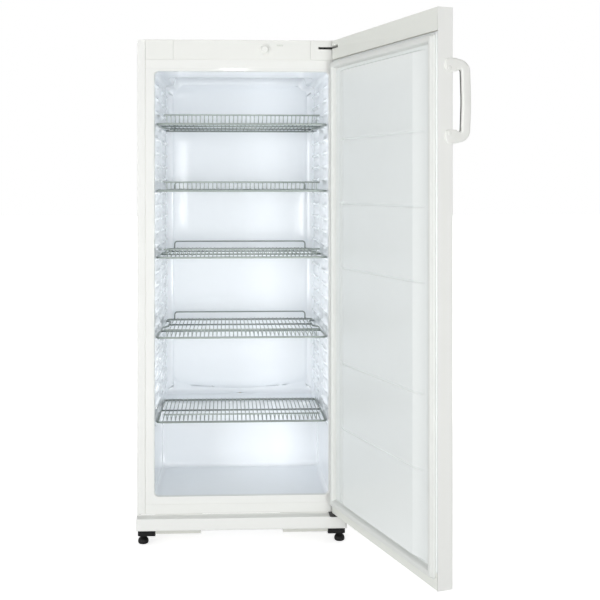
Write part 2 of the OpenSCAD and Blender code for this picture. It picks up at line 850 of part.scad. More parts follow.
module bottom_hinge_plate() {
    color("dimgray") difference() {
        along_z(ledge_z, ledge_z + plate_t, rounded([
            [pin_x - 30, pin_y - 8], [pin_x + 14, pin_y - 8], [pin_x + 14, front_y + 26], [pin_x - 30, front_y + 26]
        ], [8, 10, 0, 0]));
        translate([pin_x, pin_y, ledge_z - cut]) cylinder(h = plate_t + 2 * cut, d = pin_d + 2 * pin_clear);
    }
}

module bottom_hinge_pin() {
    color("silver") translate([pin_x, pin_y, ledge_z]) cylinder(h = plate_t + pin_l, d = pin_d);
}

// Cooling unit

module evaporator_plate() {
    color("silver")
        block([-evaporator_w / 2, evaporator_y, evaporator_z],
              [evaporator_w / 2, evaporator_y + evaporator_t, evaporator_z + evaporator_h]);
}

module drain_tube() {
    start = tray_z + tray_h / 2;
    length = step_z - liner_t - fit - start;
    color("gray") translate([0, drain_y, start]) difference() {
        cylinder(h = length, d = drain_d + 2 * drain_wall);
        translate([0, 0, -cut]) cylinder(h = length + 2 * cut, d = drain_d);
    }
}

module evaporation_tray() {
    x = tray_w / 2;
    from = can_y - tray_d / 2;
    to = can_y + tray_d / 2;
    color("gray") difference() {
        along_z(tray_z, tray_z + tray_h, round_rect([-x, from], [x, to], 12));
        along_z(tray_z + tray_t, tray_z + tray_h + cut,
            round_rect([-x + tray_t, from + tray_t], [x - tray_t, to - tray_t], 10));
    }
}

// Something at each of the four mounts of the compressor
module at_mounts() {
    for (x = [-mount_w / 2, mount_w / 2], y = [-mount_d / 2, mount_d / 2])
        translate([x, y, 0]) children();
}

module compressor() {
    r = can_d / 2;
    color("black") translate([0, can_y, can_z]) {
        rotate_extrude() polygon(rounded(
            [[0, 0], [r, 0], [r, can_h], [0, can_h]], [0, 26, 34, 0], 6));
        difference() {
            block([-mount_w / 2 - 12, -mount_d / 2 - 10, 0], [mount_w / 2 + 12, mount_d / 2 + 10, 3]);
            at_mounts() translate([0, 0, -cut]) cylinder(h = 5, d = 8);
        }
    }
}

module compressor_rail() {
    inner = half_w - sheet_t;
    half = compressor_rail_w / 2;
    color("silver") difference() {
        union() {
            block([-inner, can_y - half, compressor_rail_z], [inner, can_y + half, compressor_rail_z + rail_t]);
            for (side = [-1, 1]) on_side(side)
                block([inner - rail_t, can_y - half, compressor_rail_z],
                      [inner, can_y + half, compressor_rail_z + upstand_h]);
        }
        translate([0, can_y, compressor_rail_z - cut]) at_mounts() cylinder(h = rail_t + 2 * cut, d = 8);
    }
}

module compressor_mounts() {
    color("black") translate([0, can_y, compressor_rail_z + rail_t])
        at_mounts() cylinder(h = mount_h, d = mount_size);
}

module start_relay() {
    color("dimgray") along_x(can_d / 2 + fit, can_d / 2 + 34, round_rect(
        [can_y - 26, can_z + 40], [can_y + 26, can_z + 104], 6));
}

module refrigerant_pipes() {
    aside = 20;
    near = aside - pipe_d / 2;
    start = -sqrt(can_d * can_d / 4 - near * near) - fit;
    out = -can_d / 2 - 30;
    z = can_z + 70;
    suction = [
        [start, can_y - aside, z], [out, can_y - aside, z], [out, suction_y, z],
        [suction_x, suction_y, z + 45], [suction_x, suction_y, suction_z],
        [suction_x, evaporator_y + evaporator_t + fit, suction_z]
    ];
    supply = [
        [start, can_y + aside, z - 24], [out - 30, can_y + aside, z - 24], [out - 30, coil_y, z - 24],
        [-coil_half, coil_y, coil_z - 60], [-coil_half, coil_y, coil_z - coil_d / 2 - fit]
    ];
    color("peru") for (path = [suction, supply]) {
        for (i = [0:len(path) - 2]) bar(path[i], path[i + 1], pipe_d, 20);
        for (i = [1:len(path) - 2]) translate(path[i]) sphere(d = pipe_d + 1, $fn = 20);
    }
}

module condenser_tube() {
    bend = coil_pitch / 2;
    straight = coil_half - bend;
    color("black") for (i = [0:coil_runs - 1]) {
        z = coil_z + i * coil_pitch;
        side = i % 2 == 0 ? 1 : -1;
        bar([i == 0 ? -coil_half : -straight, coil_y, z], [straight, coil_y, z], coil_d);
        if (i < coil_runs - 1)
            translate([side * straight, coil_y, z + bend]) rotate([90, 0, 0])
                rotate([0, 0, side > 0 ? -90 : 90])
                    rotate_extrude(angle = 180) translate([bend, 0]) circle(d = coil_d, $fn = 24);
    }
}

module condenser_wires() {
    straight = coil_half - coil_pitch / 2;
    count = floor(2 * straight / fin_pitch);
    color("black") for (i = [0:count]) {
        x = (i - count / 2) * fin_pitch;
        y = coil_y + (i % 2 == 0 ? fin_off : -fin_off);
        block([x - fin_d / 2, y - fin_d / 2, coil_z - 12],
              [x + fin_d / 2, y + fin_d / 2, coil_z + (coil_runs - 1) * coil_pitch + 12]);
    }
}

module condenser_spacers() {
    top_z = coil_z + (coil_runs - 1) * coil_pitch;
    for (x = [-0.6, 0.6], z = [coil_z + coil_pitch / 2, top_z - coil_pitch / 2])
        color("black") translate([x * coil_half, rear_y, z])
            along_y(0, coil_gap - fin_off - fin_d / 2 - 0.05, round_rect([-9, -12], [9, 12], 3));
}

module mains_inlet() {
    x = half_w - 70;
    color("dimgray") difference() {
        along_y(rear_y - 34, rear_y, round_rect([x - 24, bay_z - 46], [x + 24, bay_z], 3));
        along_y(rear_y - 16, rear_y + cut, round_rect([x - 12, bay_z - 34], [x + 12, bay_z - 16], 3));
    }
}

// Shelves

// Half the outline of an upper shelf, from the front to the back, at the middle of its frame wire
function shelf_side(depth, notched) =
    let (r = frame_d / 2 + shelf_gap, y = shelf_front, back = shelf_front + depth)
    notched
        ? [[wall_at(y) - r, y], [wall_at(y + 210) - r, y + 210],
           [wall_at(y + 240) - r - notch_in, y + 240], [wall_at(back - 55) - r - notch_in, back - 55],
           [wall_at(back - 33) - r - 1, back - 33], [wall_at(back) - r - 2, back]]
        : [[wall_at(y) - r, y], [wall_at(back) - r - 1, back]];

function mirrored(points) = [for (i = [len(points) - 1:-1:0]) [-points[i][0], points[i][1]]];

// The frame's outline, moved out (positive) or in (negative)
function frame_outline(depth, notched, out) =
    let (side = [for (p = shelf_side(depth, notched)) p + [out, p[1] == shelf_front ? -out : 0]],
         last = len(side) - 1,
         ends = [for (i = [0:last]) i == last ? side[i] + [0, out] : side[i]],
         radii = [for (i = [0:last]) i == 0 || i == last ? 10 + out : 6])
    rounded(concat(ends, mirrored(ends)), concat(radii, [for (i = [last:-1:0]) radii[i]]), 3);

module wire_shelf(z, depth, notched) {
    back = front_y + shelf_front + depth;
    front = front_y + shelf_front;
    top = z + frame_d;
    wire_z = top + deck_d / 2 - 0.4;
    lip_y = front - lip_lean;
    lip_top = z + frame_d / 2 + lip_h;
    count = floor((2 * shelf_side(depth, notched)[0][0] - frame_d - (notched ? 2 * notch_in : 0)) / deck_pitch / 2);
    color("lightslategray") {
        difference() {
            translate([0, front_y, 0]) along_z(z, top, frame_outline(depth, notched, frame_d / 2));
            translate([0, front_y, 0]) along_z(z - cut, top + cut, frame_outline(depth, notched, -frame_d / 2));
        }
        for (k = notched ? [0.33, 0.68] : [0.5]) {
            y = front + depth * k;
            reach = wall_at(shelf_front + depth * k) - shelf_gap - frame_d
                - (notched && depth * k > 215 ? notch_in : 0) + 1;
            bar([-reach, y, top - cross_d / 2], [reach, y, top - cross_d / 2], cross_d, 8);
        }
        for (i = [-count:count]) {
            x = i * deck_pitch;
            bar([x, front - frame_d / 2 + 1, wire_z], [x, back + frame_d / 2 - 1, wire_z], deck_d, 6);
            if (abs(x) <= lip_w / 2 - lip_over)
                bar([x, front, wire_z - 0.6], [x, lip_y, lip_top], deck_d, 6);
        }
        bar([-lip_w / 2, lip_y, lip_top], [lip_w / 2, lip_y, lip_top], cross_d, 8);
        if (notched) {
            for (side = [-1, 1])
                bar([side * stop_w / 2, back, top - 2], [side * stop_w / 2, back, z + stop_h], cross_d - 1, 8);
            bar([-stop_w / 2 - 2, back, z + stop_h], [stop_w / 2 + 2, back, z + stop_h], cross_d - 1, 8);
        }
    }
}

module upper_shelf(number) {
    rib = rib_count - 1 - shelf_ribs[number - 1];
    wire_shelf(first_rib_z + rib * rib_pitch + rib_t + fit, shelf_depth, true);
}

// Door

module hinge_slot() {
    reach = plate_w / 2 + 9;
    block([pin_x - reach, pin_y - reach, plate_z - 1.5],
          [half_w + cut, door_inner_y + cut, plate_z + plate_t + 2.5]);
}

module handle_screw_holes(d) {
    for (z = [screw_z, screw_z + screw_pitch])
        bar([-half_w - foot_t - cut, screw_y, z], [-half_w + screw_l + 2, screw_y, z], d);
}

module door_outer_panel() {
    color("whitesmoke") door_open() difference() {
        block([-half_w, door_outer_y, door_z], [half_w, door_inner_y, door_top_z]);
        block([-half_w + sheet_t, door_outer_y + sheet_t, door_z - cut],
              [half_w - sheet_t, door_inner_y + cut, door_top_z + cut]);
        hinge_slot();
        handle_screw_holes(screw_d + 0.4);
    }
}

// The raised middle of the lining, in X and Y, made smaller by a wall
function panel_outline(wall) =
    let (y = door_inner_y - wall, x = panel_half - wall)
    [[-x, y - door_liner_t], [x, y - door_liner_t], [x, y],
     [x - panel_slope, y + panel_rise], [-x + panel_slope, y + panel_rise], [-x, y]];

module door_lining() {
    low = floor_z;
    high = ceiling_z - 2;
    wall = door_liner_t + groove_deep;
    inner = half_w - sheet_t;
    color("gainsboro") door_open() difference() {
        union() {
            block([-inner, door_inner_y - door_liner_t, cap_bottom_z], [inner, door_inner_y, cap_top_z]);
            along_z(low, high, panel_outline(0));
        }
        along_z(low + wall, high - wall, panel_outline(wall));
        for (z = groove_z)
            block([-panel_half, door_inner_y + panel_rise - groove_deep, z - groove_w / 2],
                  [panel_half, door_inner_y + panel_rise + cut, z + groove_w / 2]);
    }
}

module door_insulation() {
    wall = door_liner_t + groove_deep;
    color("khaki") door_open() difference() {
        union() {
            block([-half_w + sheet_t, door_outer_y + sheet_t, cap_bottom_z],
                  [half_w - sheet_t, door_inner_y - door_liner_t, cap_top_z]);
            along_z(floor_z + wall + fit, ceiling_z - 2 - wall - fit, panel_outline(wall + fit));
        }
        handle_screw_holes(screw_d + 0.4);
    }
}

module seal_ring(from_edge, width, from_y, to_y) {
    x = half_w - from_edge;
    shift = from_edge - seal_edge;
    difference() {
        along_y(from_y, to_y, round_rect([-x, seal_z + shift], [x, seal_top_z - shift], 8));
        along_y(from_y - cut, to_y + cut,
            round_rect([-x + width, seal_z + shift + width], [x - width, seal_top_z - shift - width], 4));
    }
}

module door_seal() {
    color("lightgray") door_open() {
        seal_ring(seal_edge, seal_w, door_inner_y, door_inner_y + 5);
        seal_ring(hinge_edge - 5, seal_w - 10, door_inner_y + 5, door_inner_y + seal_h);
    }
}

module door_top_cap() {
    wall = 3;
    inner = half_w - sheet_t;
    back = door_outer_y + sheet_t;
    color("white") door_open() difference() {
        block([-inner, back, cap_top_z], [inner, door_inner_y, door_top_z]);
        block([-inner + wall, back + wall, cap_top_z + wall], [pin_x - 30, door_inner_y - wall, door_top_z - wall]);
        hinge_slot();
        translate([pin_x, pin_y, cap_top_z + 10 - pin_clear]) cylinder(h = plate_z - cap_top_z, r = bush_r + pin_clear);
    }
}

module door_bottom_cap() {
    wall = 3;
    inner = half_w - sheet_t;
    back = door_outer_y + sheet_t;
    color("white") door_open() difference() {
        block([-inner, back, door_z], [inner, door_inner_y, cap_bottom_z]);
        block([-inner + wall, back + wall, door_z + wall], [pin_x - 30, door_inner_y - wall, cap_bottom_z - wall]);
        translate([pin_x, pin_y, door_z - cut]) cylinder(h = pin_l + 4 + cut + pin_clear, r = bush_r + pin_clear);
    }
}

module hinge_bush(from_z, to_z) {
    translate([pin_x, pin_y, from_z]) difference() {
        cylinder(h = to_z - from_z, r = bush_r);
        translate([0, 0, -cut]) cylinder(h = to_z - from_z + 2 * cut, d = pin_d + 2 * pin_clear);
    }
}

module door_hinge_bushes() {
    color("dimgray") door_open() {
        hinge_bush(cap_top_z + 10, plate_z - 1.5);
        hinge_bush(pan_z + 0.2, door_z + pin_l + 4);
    }
}

module door_handle() {
    front = door_outer_y - handle_out;
    top = handle_z + handle_l;
    outer_x = -half_w - foot_t;
    outline = rounded([
        [door_outer_y - fit, handle_z], [front, handle_z], [front, top], [door_outer_y - fit, top]
    ], [3, 26, 26, 3], 6);
    gap = rounded([
        [door_outer_y + cut, handle_z + arm_h], [front + grip_t, handle_z + arm_h],
        [front + grip_t, top - arm_h], [door_outer_y + cut, top - arm_h]
    ], [0, 9, 9, 0], 5);
    color("white") door_open() difference() {
        union() {
            along_x(outer_x, outer_x + grip_w, outline);
            for (z = [screw_z, screw_z + screw_pitch])
                along_x(outer_x, -half_w, round_rect([door_outer_y - 8, z - 14], [screw_y + 12, z + 14], 9));
        }
        along_x(outer_x - cut, outer_x + grip_w + cut, gap);
        handle_screw_holes(screw_d + 0.4);
        for (z = [screw_z, screw_z + screw_pitch])
            bar([outer_x - cut, screw_y, z], [outer_x + head_deep, screw_y, z], screw_head_d + 1);
    }
}

module handle_screws() {
    head = -half_w - foot_t + head_deep;
    color("silver") door_open() for (z = [screw_z, screw_z + screw_pitch]) {
        bar([head - 1.2, screw_y, z], [-half_w + screw_l, screw_y, z], screw_d);
        bar([head - 1.2, screw_y, z], [head, screw_y, z], screw_head_d);
    }
}

module handle_screw_caps() {
    outer = -half_w - foot_t;
    color("white") door_open() for (z = [screw_z, screw_z + screw_pitch])
        bar([outer - 0.6, screw_y, z], [outer + 0.8, screw_y, z], screw_head_d + 0.6);
}

side_panel(-1);  // left_side_panel
side_panel(1);  // right_side_panel
top_panel();
rear_panel();
compressor_bay_panel();
foam_insulation();
inner_liner();
top_cross_strip();
bottom_cross_rail();
control_panel();
left_panel_cover();
right_panel_cover();
control_compartment();
thermostat();
thermostat_spindle();
thermostat_knob();
indicator_lens();
plinth();
base_rail(-1);  // left_base_rail
base_rail(1);  // right_base_rail
foot_brackets();
levelling_foot(-1);  // left_levelling_foot
levelling_foot(1);  // right_levelling_foot
roller(-1);  // left_roller
roller(1);  // right_roller
roller_axles();
roller_brackets();
top_hinge_plate();
top_hinge_pin();
top_hinge_supports();
top_hinge_screws();
bottom_hinge_plate();
bottom_hinge_pin();
evaporator_plate();
drain_tube();
evaporation_tray();
compressor();
compressor_rail();
compressor_mounts();
start_relay();
refrigerant_pipes();
condenser_tube();
condenser_wires();
condenser_spacers();
mains_inlet();
upper_shelf(1);  // shelf_1
upper_shelf(2);  // shelf_2
upper_shelf(3);  // shelf_3
upper_shelf(4);  // shelf_4
wire_shelf(low_shelf_z + fit, low_shelf_depth, false);  // shelf_5
door_outer_panel();
door_lining();
door_insulation();
door_seal();
door_top_cap();
door_bottom_cap();
door_hinge_bushes();
door_handle();
handle_screws();
handle_screw_caps();
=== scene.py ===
# Upright storage refrigerator: looks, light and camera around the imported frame
import json
import math
import bmesh
import bpy
import numpy as np
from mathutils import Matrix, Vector


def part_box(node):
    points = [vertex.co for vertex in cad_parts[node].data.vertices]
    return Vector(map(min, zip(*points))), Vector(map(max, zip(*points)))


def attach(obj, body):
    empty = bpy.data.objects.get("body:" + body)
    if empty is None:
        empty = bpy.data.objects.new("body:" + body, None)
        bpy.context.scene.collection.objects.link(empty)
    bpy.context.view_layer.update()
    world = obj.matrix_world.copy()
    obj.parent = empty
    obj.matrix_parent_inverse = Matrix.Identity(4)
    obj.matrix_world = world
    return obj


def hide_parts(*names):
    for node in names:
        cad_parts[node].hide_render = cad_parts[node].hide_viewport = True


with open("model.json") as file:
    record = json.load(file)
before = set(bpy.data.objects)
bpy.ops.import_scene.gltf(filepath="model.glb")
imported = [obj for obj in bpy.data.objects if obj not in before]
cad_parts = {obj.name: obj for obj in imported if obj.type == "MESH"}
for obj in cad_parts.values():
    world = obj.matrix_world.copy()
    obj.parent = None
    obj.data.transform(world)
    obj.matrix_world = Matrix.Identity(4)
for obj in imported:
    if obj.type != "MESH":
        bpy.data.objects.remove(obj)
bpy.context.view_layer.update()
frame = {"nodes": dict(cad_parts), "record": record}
mm = 0.001
print("frame loaded:", len(frame["nodes"]), "nodes")


def boxOf(node):
    # a CAD node's lowest and highest corners in millimetres
    return [np.array(corner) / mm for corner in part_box(node)]


def middleOf(node):
    # the same with the middle between them
    low, high = boxOf(node)
    return low, high, (low + high) / 2


# where the cabinet and the door are, in millimetres, read from the frame
record = frame["record"]
hinge = next(j for j in record["behaviour"]["joints"] if j["name"] == "door_hinge")
panelLow, panelHigh = boxOf("right_side_panel")
place = {
    "front": panelLow[1], "rear": panelHigh[1], "halfWidth": panelHigh[0], "top": panelHigh[2],
    "panelLow": panelLow[2], "pinX": hinge["pos_m"][0] / mm, "pinY": hinge["pos_m"][1] / mm,
    "doorAngle": -hinge["range_deg"][0], "doorGap": 14.0, "doorThick": 40.5,
}
place["doorInner"] = place["front"] - place["doorGap"]
place["doorOuter"] = place["doorInner"] - place["doorThick"]
doorLow, doorHigh = boxOf("door_outer_panel")


def addObject(name, data):
    # a new object linked into the scene
    thing = bpy.data.objects.new(name, data)
    bpy.context.scene.collection.objects.link(thing)
    return thing


# Camera: the photograph's place and framing
camera = {"where": (-0.0446, -3.1544, 1.0343), "turn": -2.595, "tilt": -0.026,
          "lens": 60.48, "sensor": 36, "shiftX": 0.0465, "shiftY": -0.1915}
cameraData = bpy.data.cameras.new("camera")
cameraData.lens = camera["lens"]
cameraData.sensor_width = camera["sensor"]
cameraData.shift_x = camera["shiftX"]
cameraData.shift_y = camera["shiftY"]
cameraObject = addObject("camera", cameraData)
cameraObject.location = camera["where"]
cameraObject.rotation_euler = (math.radians(90 + camera["tilt"]), 0, math.radians(camera["turn"]))
bpy.context.scene.camera = cameraObject
bpy.context.scene.view_settings.view_transform = "Standard"


# Surfaces: grids, revolved profiles and wires as whole arrays
def putInScene(name, points, quads, triangles=None):
    # points in millimetres, faces as index arrays; points that no face uses are dropped
    points = np.asarray(points, dtype=np.float64).reshape(-1, 3) * mm
    faces = [np.asarray(quads, dtype=np.int64).reshape(-1, 4)]
    sizes = [np.full(len(faces[0]), 4)]
    if triangles is not None and len(triangles):
        faces.append(np.asarray(triangles, dtype=np.int64).reshape(-1, 3))
        sizes.append(np.full(len(faces[-1]), 3))
    corners = np.concatenate([f.ravel() for f in faces])
    used, corners = np.unique(corners, return_inverse=True)
    points = points[used]
    totals = np.concatenate(sizes)
    mesh = bpy.data.meshes.new(name)
    mesh.vertices.add(len(points))
    mesh.vertices.foreach_set("co", points.astype(np.float32).ravel())
    mesh.loops.add(len(corners))
    mesh.loops.foreach_set("vertex_index", corners.astype(np.int32))
    mesh.polygons.add(len(totals))
    starts = np.concatenate([[0], np.cumsum(totals)[:-1]])
    mesh.polygons.foreach_set("loop_start", starts.astype(np.int32))
    mesh.polygons.foreach_set("loop_total", totals.astype(np.int32))
    mesh.update(calc_edges=True)
    mesh.validate()
    mesh.polygons.foreach_set("use_smooth", np.ones(len(mesh.polygons), dtype=bool))
    return addObject(name, mesh)


def stacked(*columns):
    # coordinates or point numbers side by side, spread to one shape
    return np.stack(np.broadcast_arrays(*columns), axis=-1)


def gridFaces(rows, columns, around):
    # each cell of a rows by columns grid becomes one quad; around joins the last column to the first
    wide = columns if around else columns - 1
    r, c = np.meshgrid(np.arange(rows - 1), np.arange(wide), indexing="ij")
    n = (c + 1) % columns
    quads = stacked(r * columns + c, r * columns + n, (r + 1) * columns + n, (r + 1) * columns + c)
    return quads.reshape(-1, 4)


def fanFaces(ring, centre, flip):
    # a cap: every edge of a closed ring joined to one middle point
    fan = stacked(ring, np.roll(ring, -1), centre)
    return fan[:, ::-1] if flip else fan


def gridParts(grid, joined=False):
    # points and faces of a grid of rows and columns: caps close its ends, or joined makes a ring of its rows
    grid = np.asarray(grid, dtype=np.float64)
    rows, columns = grid.shape[:2]
    points = grid.reshape(-1, 3)
    count = rows * columns
    if joined:
        return points, gridFaces(rows + 1, columns, True) % count, np.zeros((0, 3), dtype=np.int64)
    ends = np.stack([grid[0].mean(axis=0), grid[-1].mean(axis=0)])
    first = np.arange(columns)
    last = np.arange(count - columns, count)
    fans = np.concatenate([fanFaces(first, count, True), fanFaces(last, count + 1, False)])
    return np.concatenate([points, ends]), gridFaces(rows, columns, True), fans


def carriedUp(plan, z):
    # a plan's points at rising heights, and the quads of each row between two of them
    points = stacked(plan[:, 0], plan[:, 1], np.array(z)[:, None])
    rows, columns = points.shape[:2]
    return points, gridFaces(rows, columns, False).reshape(rows - 1, columns - 1, 4)


def joinParts(name, parts):
    # several sets of points and faces in one mesh
    start = 0
    points, quads, triangles = [], [], []
    for p, q, t in parts:
        points.append(p)
        quads.append(q + start)
        triangles.append(t + start)
        start += len(p)
    return putInScene(name, np.concatenate(points), np.concatenate(quads), np.concatenate(triangles))


def turnOutwards(piece):
    # makes the normals of closed pieces point outwards
    work = bmesh.new()
    work.from_mesh(piece.data)
    bmesh.ops.recalc_face_normals(work, faces=work.faces)
    work.to_mesh(piece.data)
    work.free()
    return piece


def turnFrom(piece, middle):
    # flips an open sheet if most of its area faces its middle point
    count = len(piece.data.polygons)
    centres, normals, areas = np.zeros(count * 3), np.zeros(count * 3), np.zeros(count)
    piece.data.polygons.foreach_get("center", centres)
    piece.data.polygons.foreach_get("normal", normals)
    piece.data.polygons.foreach_get("area", areas)
    away = centres.reshape(-1, 3) - np.asarray(middle) * mm
    if ((away * normals.reshape(-1, 3)).sum(axis=1) * areas).sum() < 0:
        piece.data.flip_normals()
    return piece


def unit(v):
    # vectors brought to a length of 1
    return v / np.maximum(np.linalg.norm(v, axis=-1, keepdims=True), 1e-12)


def bentPath(corners, radii, steps=6, closed=False):
    # a line through corners, each turned on an arc of its own radius
    corners = np.asarray(corners, dtype=np.float64)
    count = len(corners)
    out = []
    for i in range(count):
        p = corners[i]
        if radii[i] <= 0 or (not closed and i in (0, count - 1)):
            out.append(p[None])
            continue
        a = unit(corners[i - 1] - p)
        b = unit(corners[(i + 1) % count] - p)
        half = math.acos(np.clip(a @ b, -1, 1)) / 2
        reach = radii[i] / math.tan(half)
        middle = p + unit(a + b) * radii[i] / math.sin(half)
        start = p + a * reach - middle
        end = p + b * reach - middle
        turn = math.pi - 2 * half
        k = np.linspace(0, 1, steps + 1)[:, None]
        out.append(middle + (start * np.sin((1 - k) * turn) + end * np.sin(k * turn)) / math.sin(turn))
    return np.concatenate(out)


def roundedRectangle(x0, x1, y0, y1, radius, steps=6):
    return bentPath([(x0, y0), (x1, y0), (x1, y1), (x0, y1)], [radius] * 4, steps, True)


def ringsAlong(path, closed, flat):
    # two directions across the path at each of its points, both square to it
    ahead = np.roll(path, -1, axis=-2) - np.roll(path, 1, axis=-2)
    if not closed:
        ahead[..., 0, :] = path[..., 1, :] - path[..., 0, :]
        ahead[..., -1, :] = path[..., -1, :] - path[..., -2, :]
    ahead = unit(ahead)
    side = unit(np.cross(np.broadcast_to(np.asarray(flat, dtype=np.float64), ahead.shape), ahead))
    return side, np.cross(ahead, side)


def wireParts(path, radius, sides, flat, closed=False):
    # round wires along paths (wires x points x 3): points of every ring, quads and end caps
    path = np.asarray(path, dtype=np.float64)
    if path.ndim == 2:
        path = path[None]
    wires, count = path.shape[:2]
    side, up = ringsAlong(path, closed, flat)
    angle = np.arange(sides) * 2 * math.pi / sides
    circle = side[:, :, None] * np.cos(angle)[:, None] + up[:, :, None] * np.sin(angle)[:, None]
    points = (path[:, :, None] + radius * circle).reshape(-1, 3)
    each = count * sides
    one = gridFaces(count + int(closed), sides, True) % each
    starts = np.arange(wires)[:, None, None] * each
    quads = (one[None] + starts).reshape(-1, 4)
    if closed:
        return points, quads, np.zeros((0, 3), dtype=np.int64)
    total = len(points)
    points = np.concatenate([points, path[:, 0], path[:, -1]])
    ring = np.arange(sides)
    nxt = np.roll(ring, -1)
    low = stacked(nxt, ring, 0)[None] + starts
    low[:, :, 2] = (total + np.arange(wires))[:, None]
    high = stacked(ring, nxt, 0)[None] + starts + (count - 1) * sides
    high[:, :, 2] = (total + wires + np.arange(wires))[:, None]
    return points, quads, np.concatenate([low.reshape(-1, 3), high.reshape(-1, 3)])


def turned(profile, centre, sides, axis="z", wave=None):
    # a profile of (radius, height) carried round an axis; wave changes the radius round it
    profile = np.asarray(profile, dtype=np.float64)
    angle = np.arange(sides) * 2 * math.pi / sides
    r = profile[:, :1] * np.ones(sides)
    h = profile[:, 1:] * np.ones(sides)
    if wave is not None:
        r = wave(r, h, angle)
    a = r * np.cos(angle)
    b = r * np.sin(angle)
    way = {"z": (a, b, h), "x": (h, a, b), "-y": (a, -h, b)}[axis]
    return stacked(*way) + np.asarray(centre, dtype=np.float64)


def raised(outline, rows):
    # an outline in x and y at rows of (height, inset): a rounded slab
    centre = (outline.max(axis=0) + outline.min(axis=0)) / 2
    size = (outline.max(axis=0) - outline.min(axis=0)) / 2
    levels = []
    for height, inset in rows:
        flat = centre + (outline - centre) * (size - inset) / size
        levels.append(stacked(flat[:, 0], flat[:, 1], height))
    return np.stack(levels)


def atDoor(points):
    # the closed door's points turned about the hinge pins to the open place
    a = math.radians(place["doorAngle"])
    p = np.asarray(points, dtype=np.float64)
    x = p[..., 0] - place["pinX"]
    y = p[..., 1] - place["pinY"]
    turnedX = place["pinX"] + x * math.cos(a) - y * math.sin(a)
    turnedY = place["pinY"] + x * math.sin(a) + y * math.cos(a)
    return stacked(turnedX, turnedY, p[..., 2])


def smoothStep(x):
    # 0 below 0, 1 above 1, an S curve between
    x = np.clip(x, 0, 1)
    return x * x * (3 - 2 * x)


def softBox(x, low, high, fade):
    # 1 between low and high, falling to 0 over a fade outside of them
    return smoothStep((x - low + fade) / fade) * smoothStep((high + fade - x) / fade)


def lines(*stops):
    # grid lines: each stop is (from, to, count)
    return np.unique(np.concatenate([np.linspace(a, b, n) for a, b, n in stops]).round(4))


# Materials
def feed(tree, node, values):
    # inputs take a number, a colour or another node's output
    for key, value in values.items():
        if isinstance(value, bpy.types.NodeSocket):
            tree.links.new(value, node.inputs[key])
        else:
            node.inputs[key].default_value = value
    return node


def addNode(tree, kind, values=None, **settings):
    node = tree.nodes.new(kind)
    for key, value in settings.items():
        setattr(node, key, value)
    return feed(tree, node, values or {})


def maths(tree, operation, *values):
    return addNode(tree, "ShaderNodeMath", dict(enumerate(values)), operation=operation).outputs[0]


def objectPlace(tree):
    # the piece's own coordinates
    return addNode(tree, "ShaderNodeTexCoord").outputs["Object"]


def objectNoise(tree, size, detail, rough):
    # cloudy noise over the piece's own coordinates, from 0 to 1
    values = {"Vector": objectPlace(tree), "Scale": size, "Detail": detail, "Roughness": rough}
    return addNode(tree, "ShaderNodeTexNoise", values).outputs["Fac"]


def mixed(tree, share, first, second):
    # the first colour where share is 0, the second where it is 1
    return addNode(tree, "ShaderNodeMix", {0: share, 6: first, 7: second}, data_type="RGBA").outputs[2]


def newGroup(name, inputs, outputs):
    # a node group: its sockets called Colour hold a colour, the others a number
    group = bpy.data.node_groups.new(name, "ShaderNodeTree")
    for label, way in [(label, "INPUT") for label in inputs] + [(label, "OUTPUT") for label in outputs]:
        kind = "NodeSocketColor" if label == "Colour" else "NodeSocketFloat"
        socket = group.interface.new_socket(label, in_out=way, socket_type=kind)
        if way == "INPUT":
            socket.default_value = inputs[label]
    return group, group.nodes.new("NodeGroupInput").outputs, group.nodes.new("NodeGroupOutput")


def leaveDrift(group, given, leave, tone, gloss):
    # tone and gloss swing round 0: tone lightens and darkens the colour, gloss goes to the roughness
    light = maths(group, "ADD", maths(group, "MULTIPLY", tone, given["Amount"]), 1.0)
    colour = addNode(group, "ShaderNodeVectorMath", {0: given["Colour"], "Scale": light}, operation="SCALE")
    rough = maths(group, "ADD", given["Roughness"], gloss)
    feed(group, leave, {"Colour": colour.outputs[0], "Roughness": rough})
    return group


def makeToneGroup():
    # slow drift of a finish: two sizes of cloudy noise lighten and darken the colour and vary the gloss
    inputs = {"Colour": (0.8, 0.8, 0.8, 1), "Size": 4.0, "Amount": 0.04, "Roughness": 0.4,
              "Gloss Drift": 0.06}
    group, given, leave = newGroup("slowTone", inputs, ("Colour", "Roughness"))
    cloud = objectNoise(group, given["Size"], 4.0, 0.55)
    finer = objectNoise(group, maths(group, "MULTIPLY", given["Size"], 9.0), 5.0, 0.6)
    half = maths(group, "MULTIPLY", maths(group, "SUBTRACT", finer, 0.5), 0.5)
    drift = maths(group, "ADD", maths(group, "SUBTRACT", cloud, 0.5), half)
    return leaveDrift(group, given, leave, drift, maths(group, "MULTIPLY", drift, given["Gloss Drift"]))


def makeSkinGroup():
    # the fine skin of a surface as a height: sprayed peel or moulded texture at a stated size
    group, given, leave = newGroup("fineSkin", {"Size": 900.0, "Soft": 0.5}, ("Height",))
    feed(group, leave, {"Height": objectNoise(group, given["Size"], 3.0, given["Soft"])})
    return group


def makeDustGroup():
    # a mask of fine dust: more where the surface looks up, broken up by noise
    group, given, leave = newGroup("fineDust", {"Amount": 0.2, "Size": 40.0}, ("Mask",))
    normal = addNode(group, "ShaderNodeNewGeometry").outputs["Normal"]
    upward = addNode(group, "ShaderNodeSeparateXYZ", {0: normal}).outputs["Z"]
    specks = objectNoise(group, given["Size"], 6.0, 0.7)
    up = maths(group, "ADD", maths(group, "MULTIPLY", maths(group, "MAXIMUM", upward, 0.0), 0.8), 0.2)
    mask = maths(group, "MULTIPLY", maths(group, "MULTIPLY", up, specks), given["Amount"])
    feed(group, leave, {"Mask": mask})
    return group


